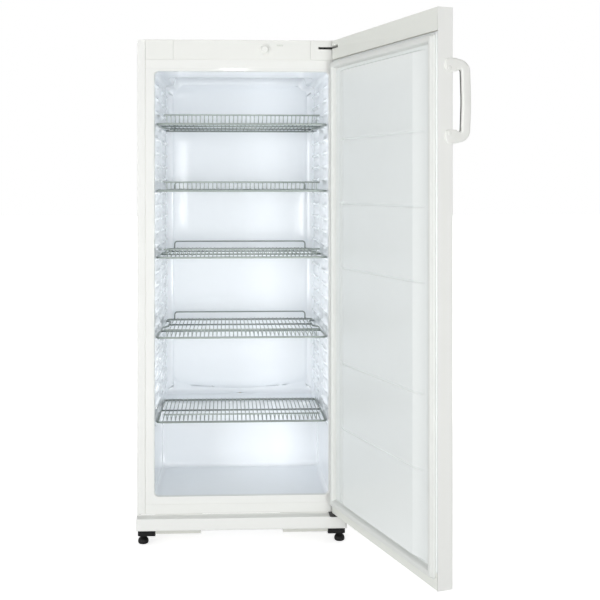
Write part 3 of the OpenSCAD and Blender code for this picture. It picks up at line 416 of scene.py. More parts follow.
def makeSpangleGroup():
    # zinc crystals: cells of slightly different grey and gloss
    inputs = {"Colour": (0.6, 0.6, 0.6, 1), "Size": 120.0, "Amount": 0.12, "Roughness": 0.4}
    group, given, leave = newGroup("zincSpangle", inputs, ("Colour", "Roughness"))
    cells = addNode(group, "ShaderNodeTexVoronoi", {"Vector": objectPlace(group), "Scale": given["Size"]})
    pick = addNode(group, "ShaderNodeSeparateColor", {0: cells.outputs["Color"]}).outputs
    tone, gloss = [maths(group, "SUBTRACT", pick[i], 0.5) for i in (0, 1)]
    return leaveDrift(group, given, leave, tone, maths(group, "MULTIPLY", gloss, 0.15))


slowTone = makeToneGroup()
fineSkin = makeSkinGroup()
fineDust = makeDustGroup()
zincSpangle = makeSpangleGroup()


def sRgb(colour):
    # a colour picked on screen, 0 to 255, as the linear values that a shader takes
    c = np.array(colour) / 255
    return (*np.where(c <= 0.04045, c / 12.92, ((c + 0.055) / 1.055) ** 2.4).tolist(), 1)


finishDefaults = {"rough": 0.4, "toneSize": 3.0, "tone": 0.03, "glossDrift": 0.05, "skinSize": 700.0,
                  "skinHeight": 0.00002, "skinSoft": 0.5, "dust": 0.0, "dustColour": (0.5, 0.48, 0.44, 1),
                  "metal": 0.0, "coat": 0.0, "coatRough": 0.08, "zinc": 0.0, "zincSize": 90.0, "spec": 0.5,
                  "frontColour": None, "frontBand": 4.0, "frontFade": 60.0}


def makeFinish(name, colour, **changes):
    # one Principled finish: drifting tone, a fine skin as bump and a little dust on what faces up
    s = {**finishDefaults, **changes}
    material = bpy.data.materials.new(name)
    material.use_nodes = True
    t = material.node_tree
    values = {"Colour": sRgb(colour), "Roughness": s["rough"]}
    if s["zinc"]:
        values.update({"Size": s["zincSize"], "Amount": s["zinc"]})
    else:
        values.update({"Size": s["toneSize"], "Amount": s["tone"], "Gloss Drift": s["glossDrift"]})
    drift = addNode(t, "ShaderNodeGroup", values, node_tree=zincSpangle if s["zinc"] else slowTone)
    colourOut = drift.outputs["Colour"]
    roughOut = drift.outputs["Roughness"]
    if s["frontColour"]:
        # the flange at the front frame keeps the plastic's white; the sheet behind it is painted lighter and
        # bluer, painted light that makes up for the shade inside the cavity
        depth = addNode(t, "ShaderNodeSeparateXYZ", {0: objectPlace(t)}).outputs["Y"]
        behind = maths(t, "SUBTRACT", depth, (place["front"] + s["frontBand"]) * mm)
        ramp = maths(t, "MAXIMUM", maths(t, "MULTIPLY", behind, s["frontFade"]), 0.0)
        colourOut = mixed(t, maths(t, "MINIMUM", ramp, 1.0), sRgb(s["frontColour"]), colourOut)
    if s["dust"]:
        veil = addNode(t, "ShaderNodeGroup", {"Amount": s["dust"]}, node_tree=fineDust).outputs["Mask"]
        colourOut = mixed(t, veil, colourOut, s["dustColour"])
        roughOut = maths(t, "ADD", roughOut, veil)
    skin = addNode(t, "ShaderNodeGroup", {"Size": s["skinSize"], "Soft": s["skinSoft"]}, node_tree=fineSkin)
    bump = addNode(t, "ShaderNodeBump", {"Strength": 1.0, "Distance": s["skinHeight"],
                                         "Height": skin.outputs["Height"]})
    feed(t, t.nodes["Principled BSDF"], {
        "Base Color": colourOut, "Roughness": roughOut, "Normal": bump.outputs["Normal"],
        "Metallic": s["metal"], "Specular IOR Level": s["spec"], "Coat Weight": s["coat"],
        "Coat Roughness": s["coatRough"]})
    return material


finishes = {
    "white_steel": makeFinish("whiteSteel", (228, 229, 226), rough=0.38, tone=0.012, skinSize=650,
                              skinHeight=0.000025),
    "white_plastic": makeFinish("whitePlastic", (227, 228, 224), rough=0.32, toneSize=6, tone=0.01,
                                skinSize=1500, skinHeight=0.000006),
    # the inside of the liner is painted lighter and bluer than its flange: painted light that makes up for
    # the cavity's shade
    "liner_plastic": makeFinish("linerLightenedInside", (245, 249, 253), rough=0.06, glossDrift=0.02, tone=0.012,
                                skinSize=24, skinHeight=0.00012, skinSoft=0.3, frontColour=(230, 231, 228)),
    "lining_plastic": makeFinish("doorLiningSheet", (231, 235, 234), rough=0.26, toneSize=2.5, tone=0.015,
                                 skinSize=24, skinHeight=0.0003, skinSoft=0.3),
    "cap_plastic": makeFinish("doorCapPlastic", (226, 228, 222), rough=0.42, toneSize=8, tone=0.015,
                              skinSize=1800),
    "foam": makeFinish("rigidFoam", (228, 214, 168), rough=0.9, toneSize=30, tone=0.15, skinSize=300,
                       skinHeight=0.0004),
    "zinc_steel": makeFinish("zincSheet", (176, 178, 180), rough=0.42, metal=0.9, zinc=0.2, skinSize=500,
                             skinHeight=0.00001, dust=0.15),
    "beige_steel": makeFinish("baseRailSteel", (214, 215, 208), rough=0.45, skinSize=500,
                              skinHeight=0.00003, dust=0.1),
    "dark_steel": makeFinish("darkSteel", (28, 28, 29), rough=0.36, spec=0.2, toneSize=20, tone=0.15,
                             skinSize=900, skinHeight=0.00003, dust=0.04),
    "black_plastic": makeFinish("blackPlastic", (17, 17, 18), rough=0.42, spec=0.15, toneSize=20, tone=0.1,
                                skinSize=1600, skinHeight=0.00004, dust=0.02),
    "grey_plastic": makeFinish("greyPlastic", (150, 152, 154), rough=0.5, toneSize=12, tone=0.05,
                               skinSize=1600, skinHeight=0.00004),
    "shelf_coating": makeFinish("shelfCoating", (130, 139, 135), rough=0.34, toneSize=18, tone=0.12,
                                skinSize=1200, skinHeight=0.00004, metal=0.3, coat=0.3),
    "seal_rubber": makeFinish("sealRubber", (219, 221, 218), rough=0.55, toneSize=10, skinSize=1500,
                              skinHeight=0.00003),
    "black_rubber": makeFinish("blackRubber", (32, 32, 33), rough=0.7, toneSize=20, tone=0.12, skinSize=1200,
                               skinHeight=0.00006),
    "aluminium": makeFinish("rolledAluminium", (206, 208, 210), rough=0.35, metal=1.0, tone=0.05,
                            skinSize=600),
    "copper": makeFinish("copperTube", (196, 122, 86), rough=0.32, metal=1.0, toneSize=25, tone=0.25,
                         skinSize=900, skinHeight=0.00003),
    "lens": makeFinish("lampLens", (222, 226, 219), rough=0.15, toneSize=40, skinSize=1800,
                       skinHeight=0.00001),
}
markInk = makeFinish("markInk", (186, 188, 186), rough=0.5, toneSize=60, tone=0.05, skinSize=2000,
                     skinHeight=0.000004)
# dark grey of the handle's back cover, and painted shade standing for the shadow on the grip's inner side
gripBackShade = makeFinish("gripBackShade", (70, 71, 70), rough=0.5, toneSize=20, tone=0.08, skinSize=1600,
                      skinHeight=0.00004)
slotOf = {part["node"]: part["material_slot"] for part in record["subparts"]}
bodyOf = {n: body for body, nodes in record["behaviour"]["bodies"].items() for n in nodes}
for node, thing in frame["nodes"].items():
    thing.data.materials.clear()
    thing.data.materials.append(finishes[slotOf[node]])
print("materials:", len(finishes))


def dress(piece, body, slot, *nodes, material=None):
    # a new piece rides on a body, takes a slot's finish and stands for CAD nodes
    piece.data.materials.append(material or finishes[slot])
    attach(piece, body)
    if nodes:
        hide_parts(*nodes)
    return piece


def closedPiece(name, parts, body, slot, *nodes, material=None):
    # closed solids as one dressed piece
    return dress(turnOutwards(joinParts(name, parts)), body, slot, *nodes, material=material)


def thicken(piece, thickness):
    # a wall behind a sheet
    wall = piece.modifiers.new("wall", "SOLIDIFY")
    wall.thickness = thickness * mm
    wall.offset = -1.0
    wall.use_even_offset = False
    return piece


def keepFlat(piece):
    # shades wide faces flat and lets only the narrow rounded ones turn
    weigh = piece.modifiers.new("flatFaces", "WEIGHTED_NORMAL")
    weigh.keep_sharp = True
    weigh.weight = 100
    return piece


# What softening does to a CAD node: distances in metres, angles in degrees
softening = {"doubles": 0.00001, "flat": 0.5, "sharp": 32, "segments": 2}


def softenNode(node, radius, shift=None):
    # a copy of a CAD node: doubles merged, flat faces joined, and its edges rounded
    s = softening
    work = bmesh.new()
    work.from_mesh(frame["nodes"][node].data)
    bmesh.ops.remove_doubles(work, verts=work.verts, dist=s["doubles"])
    bmesh.ops.dissolve_limit(work, angle_limit=math.radians(s["flat"]), verts=work.verts, edges=work.edges)
    mesh = bpy.data.meshes.new(node + "_dressed")
    work.to_mesh(mesh)
    work.free()
    if shift:
        points = np.zeros(len(mesh.vertices) * 3)
        mesh.vertices.foreach_get("co", points)
        mesh.vertices.foreach_set("co", (shift(points.reshape(-1, 3) / mm) * mm).ravel())
        mesh.update()
    mesh.polygons.foreach_set("use_smooth", np.ones(len(mesh.polygons), dtype=bool))
    mesh.set_sharp_from_angle(angle=math.radians(s["sharp"]))
    piece = addObject(node + "_dressed", mesh)
    bevel = piece.modifiers.new("edges", "BEVEL")
    bevel.width = radius * mm
    bevel.segments = s["segments"]
    bevel.limit_method = "ANGLE"
    bevel.angle_limit = math.radians(s["sharp"])
    bevel.harden_normals = True
    return dress(piece, bodyOf[node], slotOf[node], node)


# Plain rigid parts keep their CAD form, with their edges broken by these radii in millimetres
edgeRadius = {
    "top_panel": 0.3, "rear_panel": 0.3, "compressor_bay_panel": 0.3, "top_cross_strip": 0.5,
    "bottom_cross_rail": 0.5, "control_panel": 0.8, "left_panel_cover": 0.8, "right_panel_cover": 0.8,
    "control_compartment": 0.5, "thermostat": 1.0, "thermostat_spindle": 0.4, "indicator_lens": 0.6,
    "left_base_rail": 0.8, "right_base_rail": 0.8, "foot_brackets": 1.0, "roller_axles": 0.6,
    "roller_brackets": 0.6, "top_hinge_plate": 0.6, "top_hinge_pin": 0.5, "top_hinge_supports": 0.5,
    "top_hinge_screws": 0.5, "bottom_hinge_plate": 0.7, "bottom_hinge_pin": 0.6, "evaporator_plate": 0.4,
    "drain_tube": 0.3, "evaporation_tray": 0.6, "compressor_rail": 0.5, "start_relay": 2.0,
    "condenser_spacers": 1.0, "mains_inlet": 0.8, "door_top_cap": 1.0, "door_bottom_cap": 1.0,
    "door_hinge_bushes": 0.4, "handle_screws": 0.4,
}


# Two nodes change a little: the points within a band of their lowest end move by this much, in millimetres
capTrim = {"band": 0.6, "move": [0, 0, 1.4]}
plateTrim = {"band": 1.5, "move": [18.0, 0, 0]}


def raiseFoot(points):
    # the top cap ends just short of the lining, so that a fine dark gap shows under it
    return points + np.outer(points[:, 2] - points[:, 2].min() < capTrim["band"], capTrim["move"])


def shortenPlate(points):
    # the hinge plate's free end is drawn in to the length that shows
    return points + np.outer(points[:, 0] - points[:, 0].min() < plateTrim["band"], plateTrim["move"])


nodeShift = {"door_top_cap": raiseFoot, "top_hinge_plate": shortenPlate}
for node, radius in edgeRadius.items():
    softenNode(node, radius, nodeShift.get(node))
print("rigid parts softened:", len(edgeRadius))


# Side panels: one bent sheet each, from the rear fold round to the fold across the front
sideSheet = {"rearFold": 14.0, "frontFold": 23.2, "rearRadius": 1.5, "frontRadius": 3.0, "foldLow": 90.0,
             "sheet": 0.9, "returnDeep": 2.6, "returnRadius": 1.5}
sheetRows = (400, 750, 1100)


def makeSidePanel(side, name):
    # the bend's outline in plan carried up the cabinet; below the fold's foot the front columns are left out
    s = sideSheet
    w = place["halfWidth"]
    corners = [(w - s["rearFold"], place["rear"]), (w, place["rear"]), (w, place["front"]),
               (w - s["frontFold"], place["front"]), (w - s["frontFold"], place["front"] + s["returnDeep"])]
    plan = bentPath(corners, [0, s["rearRadius"], s["frontRadius"], s["returnRadius"], 0])
    points, quads = carriedUp(plan, [place["panelLow"], s["foldLow"], *sheetRows, place["top"]])
    onSide = (plan[1:, 0] > w - s["frontRadius"] - 0.6) | (plan[1:, 1] > 0)
    kept = np.concatenate([quads[0, onSide], quads[1:].reshape(-1, 4)])
    piece = turnFrom(putInScene(name + "_sheet", points * np.array([side, 1, 1]), kept), (0, 0, sheetRows[1]))
    keepFlat(thicken(piece, s["sheet"]))
    return dress(piece, "cabinet", "white_steel", name)


makeSidePanel(-1, "left_side_panel")
makeSidePanel(1, "right_side_panel")


# Plinth: a moulded cover with rounded front corners and a rounded top edge
plinth = {"out": 33.0, "corner": 7.0, "edge": 3.0, "wall": 2.5, "low": 53.0, "high": 87.0, "lip": 2.7}


def makePlinth():
    # the cover's plan at rising heights; the last rows turn over the edge and close the top
    s = plinth
    w = place["halfWidth"]
    y0 = place["front"] - s["out"]
    corners = [(-w, y0), (w, y0), (w, place["front"]), (-w, place["front"])]
    plan = bentPath(corners, [s["corner"], s["corner"], 0, 0], 8, True)
    turn = np.linspace(0, math.pi / 2, 6)
    rows = [(s["low"], 0.0), (s["low"] + 2, 0.0), (70.0, 0.0)]
    rows += list(zip(s["high"] - s["edge"] + s["edge"] * np.sin(turn), s["edge"] * (1 - np.cos(turn))))
    rows += [(s["high"], s["edge"] + 0.8), (s["high"], s["edge"] + 8.0)]
    grid = raised(plan, rows)
    # the back stays against the cabinet
    grid[..., 1] = np.where(plan[:, 1] > place["front"] - 0.1, place["front"] - 0.05, grid[..., 1])
    count = grid.shape[0] * grid.shape[1]
    last = np.arange(count - grid.shape[1], count)
    middle = np.array([[0.0, place["front"] - s["out"] / 2, s["high"]]])
    points = np.concatenate([grid.reshape(-1, 3), middle])
    piece = putInScene("plinth_cover", points, gridFaces(*grid.shape[:2], True), fanFaces(last, count, False))
    turnFrom(piece, (0, place["front"] - s["out"] / 2, s["low"]))
    keepFlat(thicken(piece, s["wall"] - 0.3))
    dress(piece, "cabinet", "white_steel", "plinth")
    # a low lip along the back closes the gap under the sill, up to the hinge plate
    back = place["front"] - 0.1
    end = boxOf("bottom_hinge_plate")[0][0] - 1.0
    plan = bentPath([(1 - w, back - 2), (end, back - 2), (end, back), (1 - w, back)], [0.7] * 4, 3, True)
    top = s["high"] + s["lip"]
    rows = [(s["high"] - 0.5, 0.0), (top - 0.4, 0.0), (top - 0.1, 0.15), (top, 0.5)]
    closedPiece("plinth_lip", [gridParts(raised(plan, rows))], "cabinet", "white_steel")


makePlinth()


# Thermostat knob: a thin skirt, a fluted boss and a printed index mark
knob = {"skirt": 15.5, "boss": 10.6, "skirtHigh": 2.2, "high": 8.0, "flutes": 18, "fluteDeep": 0.45,
        "mark": 135.0, "markLong": 3.2, "markWide": 1.1, "markOut": 13.0}


def makeKnob():
    # radius by height, with a shallow wave round the boss
    s = knob
    high, middle = middleOf("thermostat_knob")[1:]
    x, y, z = middle[0], high[1], middle[2]
    boss = s["boss"]
    profile = [(15.0, 0.0), (s["skirt"], 0.4), (s["skirt"], 1.4), (15.1, 2.0), (14.4, s["skirtHigh"]),
               (12.4, 2.2), (11.5, 2.3), (boss + 0.3, 2.7), (boss, 3.4), (boss - 0.1, 5.0), (boss - 0.3, 6.6),
               (boss - 0.7, 7.4), (boss - 1.4, 7.9), (8.2, s["high"]), (7.6, 7.8), (3.0, 7.7), (0.3, 7.7)]

    def wave(r, h, angle):
        grip = smoothStep((h - 2.6) / 0.8) * smoothStep((7.9 - h) / 0.6)
        return r - s["fluteDeep"] * grip * (0.5 + 0.5 * np.cos(s["flutes"] * angle)) ** 2

    body = [gridParts(turned(profile, (x, y, z), 144, "-y", wave))]
    closedPiece("knob_body", body, "thermostat_control", "white_plastic", "thermostat_knob")
    # the mark lies on the skirt, up and to the left
    a = math.radians(s["mark"])
    long, wide = s["markLong"] / 2, s["markWide"] / 2
    rows = raised(roundedRectangle(-long, long, -wide, wide, 0.5, 4), [(1.9, 0.0), (2.35, 0.0), (2.5, 0.15)])
    flat = rows[..., 0] + s["markOut"]
    grid = stacked(x + flat * math.cos(a) - rows[..., 1] * math.sin(a), y - rows[..., 2],
                   z + flat * math.sin(a) + rows[..., 1] * math.cos(a))
    closedPiece("knob_mark", [gridParts(grid)], "thermostat_control", "white_plastic", material=markInk)


makeKnob()


# Levelling feet: a domed pad, a hexagon and a rolled thread
foot = {"pad": 15.5, "padHigh": 20.0, "neck": 9.2, "hexagon": 9.3, "hexagonHigh": 4.0, "stem": 5.0,
        "pitch": 1.5, "thread": 0.55, "top": 76.0}


def makeFoot(name, body):
    # the pad is turned; the thread is a stem whose radius falls with height and angle together
    s = foot
    middle = middleOf(name)[2]
    centre = np.array([middle[0], middle[1], 0.0])
    pad = [(11.0, 0.0), (12.6, 0.4), (14.2, 1.8), (15.1, 4.0), (s["pad"], 7.0), (15.2, 9.6), (14.3, 12.4),
           (12.6, 15.2), (10.6, 17.2), (s["neck"], 18.6), (9.0, s["padHigh"]), (4.6, 20.1)]
    corners = [(s["hexagon"] * math.cos(a), s["hexagon"] * math.sin(a)) for a in np.arange(6) * math.pi / 3]
    low = s["padHigh"]
    top = low + s["hexagonHigh"]
    nut = raised(bentPath(corners, [0.6] * 6, 3, True),
                 [(low + 0.1, 0.7), (low + 0.6, 0.0), (top - 0.6, 0.0), (top - 0.05, 0.7)])
    turns = np.arange(top - 1.0, s["top"] + 0.01, s["pitch"] / 6)
    stem = stacked(s["stem"], turns)

    def thread(r, h, angle):
        return r - s["thread"] * np.abs((h / s["pitch"] - angle / (2 * math.pi)) % 1.0 * 2 - 1)

    parts = [gridParts(turned(pad, centre, 56)), gridParts(nut + centre),
             gridParts(turned(stem, centre, 24, wave=thread))]
    closedPiece(name + "_turned", parts, body, "black_plastic", name)


makeFoot("left_levelling_foot", "left_foot")
makeFoot("right_levelling_foot", "right_foot")


# Rear rollers: a tyre with two grooves, a web and a hub
roller = {"radius": 22.0, "bore": 4.1, "hub": 8.0, "groove": 0.9}


def makeRoller(name, body):
    # the half profile of the wheel carried round its axle, bore and all
    s = roller
    low, high, middle = middleOf(name)
    wide = high[0] - low[0]
    r, hub = s["radius"], s["hub"]
    inner = r - s["groove"]
    profile = [(s["bore"], 0.0), (hub, 0.0), (hub + 0.8, 0.8), (hub + 1.6, 3.2), (16.0, 3.4), (17.2, 1.6),
               (18.0, 0.5), (r - 1.6, 0.4), (r - 0.5, 1.2), (r, 2.6), (r, 4.6), (inner, 5.2), (inner, 6.0),
               (r, 6.6), (r, wide / 2)]
    profile = np.array(profile + [(a, wide - h) for a, h in profile[-2::-1]])
    grid = turned(profile, (low[0], middle[1], middle[2]), 56, "x")
    closedPiece(name + "_wheel", [gridParts(grid, True)], body, "grey_plastic", name)


makeRoller("left_roller", "left_roller_wheel")
makeRoller("right_roller", "right_roller_wheel")


# Compressor: two pressed shells with a welded seam, on a base plate
can = {"radius": 63.0, "upper": 60.6, "lower": 61.6, "seam": 86.0, "bottomBend": 24, "topBend": 32,
       "base": (184.0, 80.0, 3.0)}


def makeCompressor():
    # shell radius by height: dished bottom, straight wall, seam, narrower wall and domed top
    s = can
    low, high, middle = middleOf("compressor")
    centre = np.array([middle[0], middle[1], low[2]])
    top = high[2] - low[2]
    turn = np.linspace(0, math.pi / 2, 10)
    r = s["bottomBend"]
    bottom = stacked(s["lower"] - r + r * np.sin(turn), 1 + r - r * np.cos(turn))
    r = s["topBend"]
    crown = stacked(s["upper"] - r + r * np.cos(turn), top - 4 - r + r * np.sin(turn))
    wall, seamZ = s["radius"], s["seam"]
    seam = [(s["lower"], seamZ - 3.2), (wall - 0.2, seamZ - 2.2), (wall - 0.05, seamZ - 1.2),
            (wall - 0.05, seamZ + 1.2), (wall - 0.4, seamZ + 2.0), (s["upper"] + 0.3, seamZ + 2.6),
            (s["upper"], seamZ + 4.0)]
    dish = [(22.0, top - 2.2), (12.0, top - 0.6), (0.5, top)]
    profile = np.concatenate([[(0.5, 0.6), (20.0, 0.7)], bottom, seam, crown, dish])
    long, deep, thick = s["base"]
    plan = roundedRectangle(-long / 2, long / 2, -deep / 2, deep / 2, 9.0)
    base = raised(plan, [(0.0, 0.5), (0.4, 0.0), (thick - 0.4, 0.0), (thick, 0.5)]) + centre
    parts = [gridParts(turned(profile, centre, 84)), gridParts(base)]
    closedPiece("compressor_can", parts, "cabinet", "dark_steel", "compressor")


makeCompressor()


# Rubber mounts: waisted sleeves under the compressor
mount = {"radius": 10.0, "waist": 2.2}


def makeMounts():
    # four copies of a waisted profile
    low, high = boxOf("compressor_mounts")
    r = mount["radius"]
    thin = r - mount["waist"]
    tall = high[2] - low[2]
    profile = [(r - 0.8, 0.0), (r, 0.8), (r, 2.6), (thin, 4.2), (thin, tall - 4.2), (r, tall - 2.6),
               (r, tall - 0.8), (r - 0.8, tall)]
    parts = [gridParts(turned(profile, (x, y, low[2]), 32))
             for x in (low[0] + r, high[0] - r) for y in (low[1] + r, high[1] - r)]
    closedPiece("rubber_mounts", parts, "cabinet", "black_rubber", "compressor_mounts")


makeMounts()


# Condenser: one serpentine tube between two rows of wires
condenser = {"tube": 2.5, "runs": 13, "pitch": 70.0, "wire": 0.75, "wirePitch": 14.0, "off": 3.3}


def makeCondenser():
    # runs across joined by half circles; wires alternate in front of and behind them
    s = condenser
    low, high, middle = middleOf("condenser_tube")
    y = middle[1]
    bend = s["pitch"] / 2
    straight = high[0] - s["tube"] - bend
    z0 = low[2] + s["tube"]
    angle = np.linspace(-math.pi / 2, math.pi / 2, 15)[1:-1]
    path = [(s["tube"] - high[0], y, z0)]
    for i in range(s["runs"]):
        side = 1 if i % 2 == 0 else -1
        z = z0 + i * s["pitch"]
        path += [(-side * straight * 0.5, y, z), (side * straight, y, z)]
        if i < s["runs"] - 1:
            path += [(side * (straight + bend * math.cos(a)), y, z + bend + bend * math.sin(a))
                     for a in angle]
            path += [(side * straight, y, z + s["pitch"])]
    tube = [wireParts(path, s["tube"], 14, (0, 1, 0))]
    closedPiece("condenser_serpentine", tube, "cabinet", "dark_steel", "condenser_tube")
    low, high, middle = middleOf("condenser_wires")
    count = int(2 * straight // s["wirePitch"]) + 1
    x = (np.arange(count) - (count - 1) / 2) * s["wirePitch"]
    side = np.where(np.arange(count) % 2 == 0, s["off"], -s["off"])
    ends = np.array([low[2] + 0.2, middle[2], high[2] - 0.2])
    path = stacked(x[:, None], (y + side)[:, None], ends)
    wires = [wireParts(path, s["wire"], 8, (0, 1, 0))]
    closedPiece("condenser_rods", wires, "cabinet", "dark_steel", "condenser_wires")


makeCondenser()


# Refrigerant pipes: suction up to the evaporator, supply across to the condenser
pipes = {"radius": 3.0, "bend": 14.0, "aside": 20.0, "canY": 188.0, "canZ": 79.0, "out": -93.0,
         "suctionX": -50.0, "suctionY": 245.0, "suctionZ": 715.0, "evaporatorY": 199.1, "coilY": 273.0,
         "coilX": -245.0, "coilZ": 410.0}


def makePipes():
    # two smooth tubes whose corners are bent, not mitred
    s = pipes
    start = -math.sqrt(can["radius"] ** 2 - (s["aside"] - s["radius"]) ** 2) - 0.3
    z = s["canZ"] + 70
    near = s["canY"] - s["aside"]
    far = s["canY"] + s["aside"]
    suction = [(start, near, z), (s["out"], near, z), (s["out"], s["suctionY"], z),
               (s["suctionX"], s["suctionY"], z + 45), (s["suctionX"], s["suctionY"], s["suctionZ"]),
               (s["suctionX"], s["evaporatorY"], s["suctionZ"])]
    aside = s["out"] - 30
    supply = [(start, far, z - 24), (aside, far, z - 24), (aside, s["coilY"], z - 24),
              (s["coilX"], s["coilY"], s["coilZ"] - 60), (s["coilX"], s["coilY"], s["coilZ"] - 2.8)]
    parts = []
    for path in (suction, supply):
        bends = [0] + [s["bend"]] * (len(path) - 2) + [0]
        parts.append(wireParts(bentPath(path, bends, 8), s["radius"], 16, (0.1, 0.37, 0.92)))
    closedPiece("copper_pipes", parts, "cabinet", "copper", "refrigerant_pipes")


makePipes()
print("base and cooling unit done")


# Wire shelves: four with notched sides and a rear stop, and a shallower plain one at the bottom
shelfWire = {
    "frame": 3.0, "cross": 2.5, "deck": 1.25, "stop": 2.0, "pitch": 12.0, "front": 21.0, "gap": 2.5,
    "lipHeight": 25.0, "lipLean": 13.0, "lipWidth": 450.0, "lipOver": 8.0, "stopHeight": 28.0,
    "stopWidth": 428.0, "corner": 10, "notchBend": 7, "notchFront": (210, 240), "notchBack": (55, 33),
    "rodSides": 10,
}
upperShelf = {"depth": 396.0, "notch": 15.0, "rods": (0.33, 0.68)}
lowShelf = {"depth": 300.0, "notch": 0.0, "rods": (0.5,)}
# the fourth shelf lies on the sixth of the even supports, a hair above it
ribPitch, ribThick, ribGap = 38.6, 5.0, 0.3
firstRib = boxOf("shelf_4")[0][2] - ribGap - ribThick - 5 * ribPitch
innerWall = {"half": 250.5, "taper": 7.0, "depth": 450.0}


def wallAt(y):
    # half the compartment's width, y behind the front frame
    return innerWall["half"] - innerWall["taper"] * y / innerWall["depth"]


def makeShelf(name, kind):
    # a bent frame, deck wires whose fronts turn up into the lip, cross rods and a rear stop
    s = shelfWire
    notch = kind["notch"]
    front = s["front"]
    back = front + kind["depth"]
    r = s["frame"] + s["gap"]
    side = [(wallAt(front) - r, front), (wallAt(back) - r - 1, back)]
    if notch:
        y1, y2 = (front + y for y in s["notchFront"])
        y3, y4 = (back - y for y in s["notchBack"])
        side[1:] = [(wallAt(y1) - r, y1), (wallAt(y2) - r - notch, y2), (wallAt(y3) - r - notch, y3),
                    (wallAt(y4) - r - 1, y4), (wallAt(back) - r - 2, back)]
    corners = side + [(-x, y) for x, y in reversed(side)]
    radii = [s["corner"]] + [s["notchBend"]] * (len(side) - 2) + [s["corner"]]
    toFrame = np.array([0, place["front"], 0])
    z = boxOf(name)[0][2]
    mid = z + s["frame"]
    top = z + 2 * s["frame"]
    outline = bentPath([(x, y, mid) for x, y in corners], radii + radii[::-1], 6, True) + toFrame
    parts = [wireParts(outline, s["frame"], 12, (0, 0, 1), True)]
    # deck wires: those behind the lip turn up into it, the others end at the frame
    wireZ = top + s["deck"] - 0.4
    lipY = front - s["lipLean"]
    lipTop = mid + s["lipHeight"]
    count = int((side[0][0] - s["frame"] - notch) // s["pitch"])
    x = np.arange(-count, count + 1) * s["pitch"]
    lipped = np.abs(x) <= s["lipWidth"] / 2 - s["lipOver"]
    bend = bentPath([(0, back + 2, wireZ), (0, front + 0.6, wireZ), (0, lipY + 0.6, lipTop)], [0, 4, 0], 5)
    plain = bentPath([(0, back + 2, wireZ), (0, (front + back) / 2, wireZ), (0, front - 2, wireZ)], [0, 0, 0])
    for path, chosen in ((bend, x[lipped]), (plain, x[~lipped])):
        if len(chosen):
            many = path[None] + stacked(chosen, 0, 0)[:, None] + toFrame
            parts.append(wireParts(many, s["deck"], 8, (1, 0, 0)))

    def addRod(reach, y, height, radius):
        rod = np.array([(-reach, y, height), (0, y, height), (reach, y, height)]) + toFrame
        parts.append(wireParts(rod, radius, s["rodSides"], (0, 0, 1)))

    for k in kind["rods"]:
        deep = kind["depth"] * k
        narrow = notch if deep > s["notchFront"][0] + 5 else 0
        reach = wallAt(front + deep) - s["gap"] - 2 * s["frame"] - narrow + 1
        addRod(reach, front + deep, top - s["cross"], s["cross"])
    addRod(s["lipWidth"] / 2, lipY, lipTop, s["cross"] - 0.3)
    if notch:
        w = s["stopWidth"] / 2
        high = z + s["stopHeight"]
        stop = [(-w, back, top - 2), (-w, back, high), (w, back, high), (w, back, top - 2)]
        stop = bentPath(stop, [0, 9, 9, 0])
        parts.append(wireParts(stop + toFrame, s["stop"], s["rodSides"], (0, 1, 0)))
    return dress(joinParts(name + "_wires", parts), name + "_frame", "shelf_coating", name)


for number in (1, 2, 3, 4):
    makeShelf("shelf_%d" % number, upperShelf)
makeShelf("shelf_5", lowShelf)
print("shelves done")


# Inner liner
liner = {
    "floor": 140.0, "ceiling": 1359.5, "rise": 26.0, "riseStart": 170.0, "riseRadius": 40.0, "stepY": 305.0,
    "stepLean": 22.0, "stepZ": 345.0, "footRadius": 10.0, "rear": 450.0, "openingRadius": 12.0,
    "rearRadius": 24.0, "lipRadius": 2.5, "flangeX": 276.5, "flangeLow": 117.0, "flangeHigh": 1369.0,
    "ribs": 25, "ribOut": 6.4, "ribHigh": (0.6, 4.9, 4.0), "frontRib": (20.0, 130.0, 55.0, 5.0),
    "rearRib": (250.0, 170.0, 12.0, 8.0), "lowRib": 340.0, "sheet": 1.8,
    "drain": {"y": 438.0, "radius": 4.6, "reach": (5.2, 4.2), "core": (4, 3), "below": 400},
    "field": {"half": 221.0, "low": 366.0, "sag": 19.0, "high": 1358.0, "corner": 28.0, "out": 3.0,
              "middle": 800.0},
}
# depths of the straight part's loops, as (from, to, count), and the lines that follow each support's section
linerStops = ((19, 70, 8), (70, 143, 5), (145, 152, 5), (158, 168, 3), (168, 182, 6), (190, 240, 4),
              (247, 262, 5), (272, 295, 4), (295, 307, 7), (310, 334, 10), (340, 405, 6), (412, 421, 5),
              (425, 426, 2))
ribLines = np.array([-3.4, -1.6, 0.1, 1.6, 3.4, 4.9, 6.6, 8.4])


def fieldOutline(loop):
    # the rear field's border, spread to match the points of the liner's last loop
    s = liner["field"]
    step = np.linalg.norm(np.roll(loop, -1, axis=0) - loop, axis=1)
    part = np.concatenate([[0], np.cumsum(step)[:-1]]) / step.sum()
    x = np.linspace(0, s["half"] - s["corner"], 12)
    low = stacked(x, s["low"] + s["sag"] * (x / s["half"]) ** 2)
    a = np.linspace(0, math.pi / 2, 9)[1:]
    z0 = low[-1, 1]
    turnX = s["half"] - s["corner"]
    r = s["corner"]
    lowTurn = stacked(turnX + r * np.sin(a), z0 + r - r * np.cos(a))
    side = stacked(s["half"], np.linspace(z0 + r, s["high"] - r, 13)[1:])
    topTurn = stacked(turnX + r * np.cos(a), s["high"] - r + r * np.sin(a))
    top = stacked(np.linspace(turnX, 0, 8)[1:], s["high"])
    right = np.concatenate([low, lowTurn, side, topTurn, top])
    ring = np.concatenate([right, right[-2:0:-1] * np.array([-1, 1])])
    length = np.linalg.norm(np.roll(ring, -1, axis=0) - ring, axis=1)
    mark = np.concatenate([[0], np.cumsum(length)]) / length.sum()
    ring = np.concatenate([ring, ring[:1]])
    return stacked(np.interp(part, mark, ring[:, 0]), liner["rear"], np.interp(part, mark, ring[:, 1]))


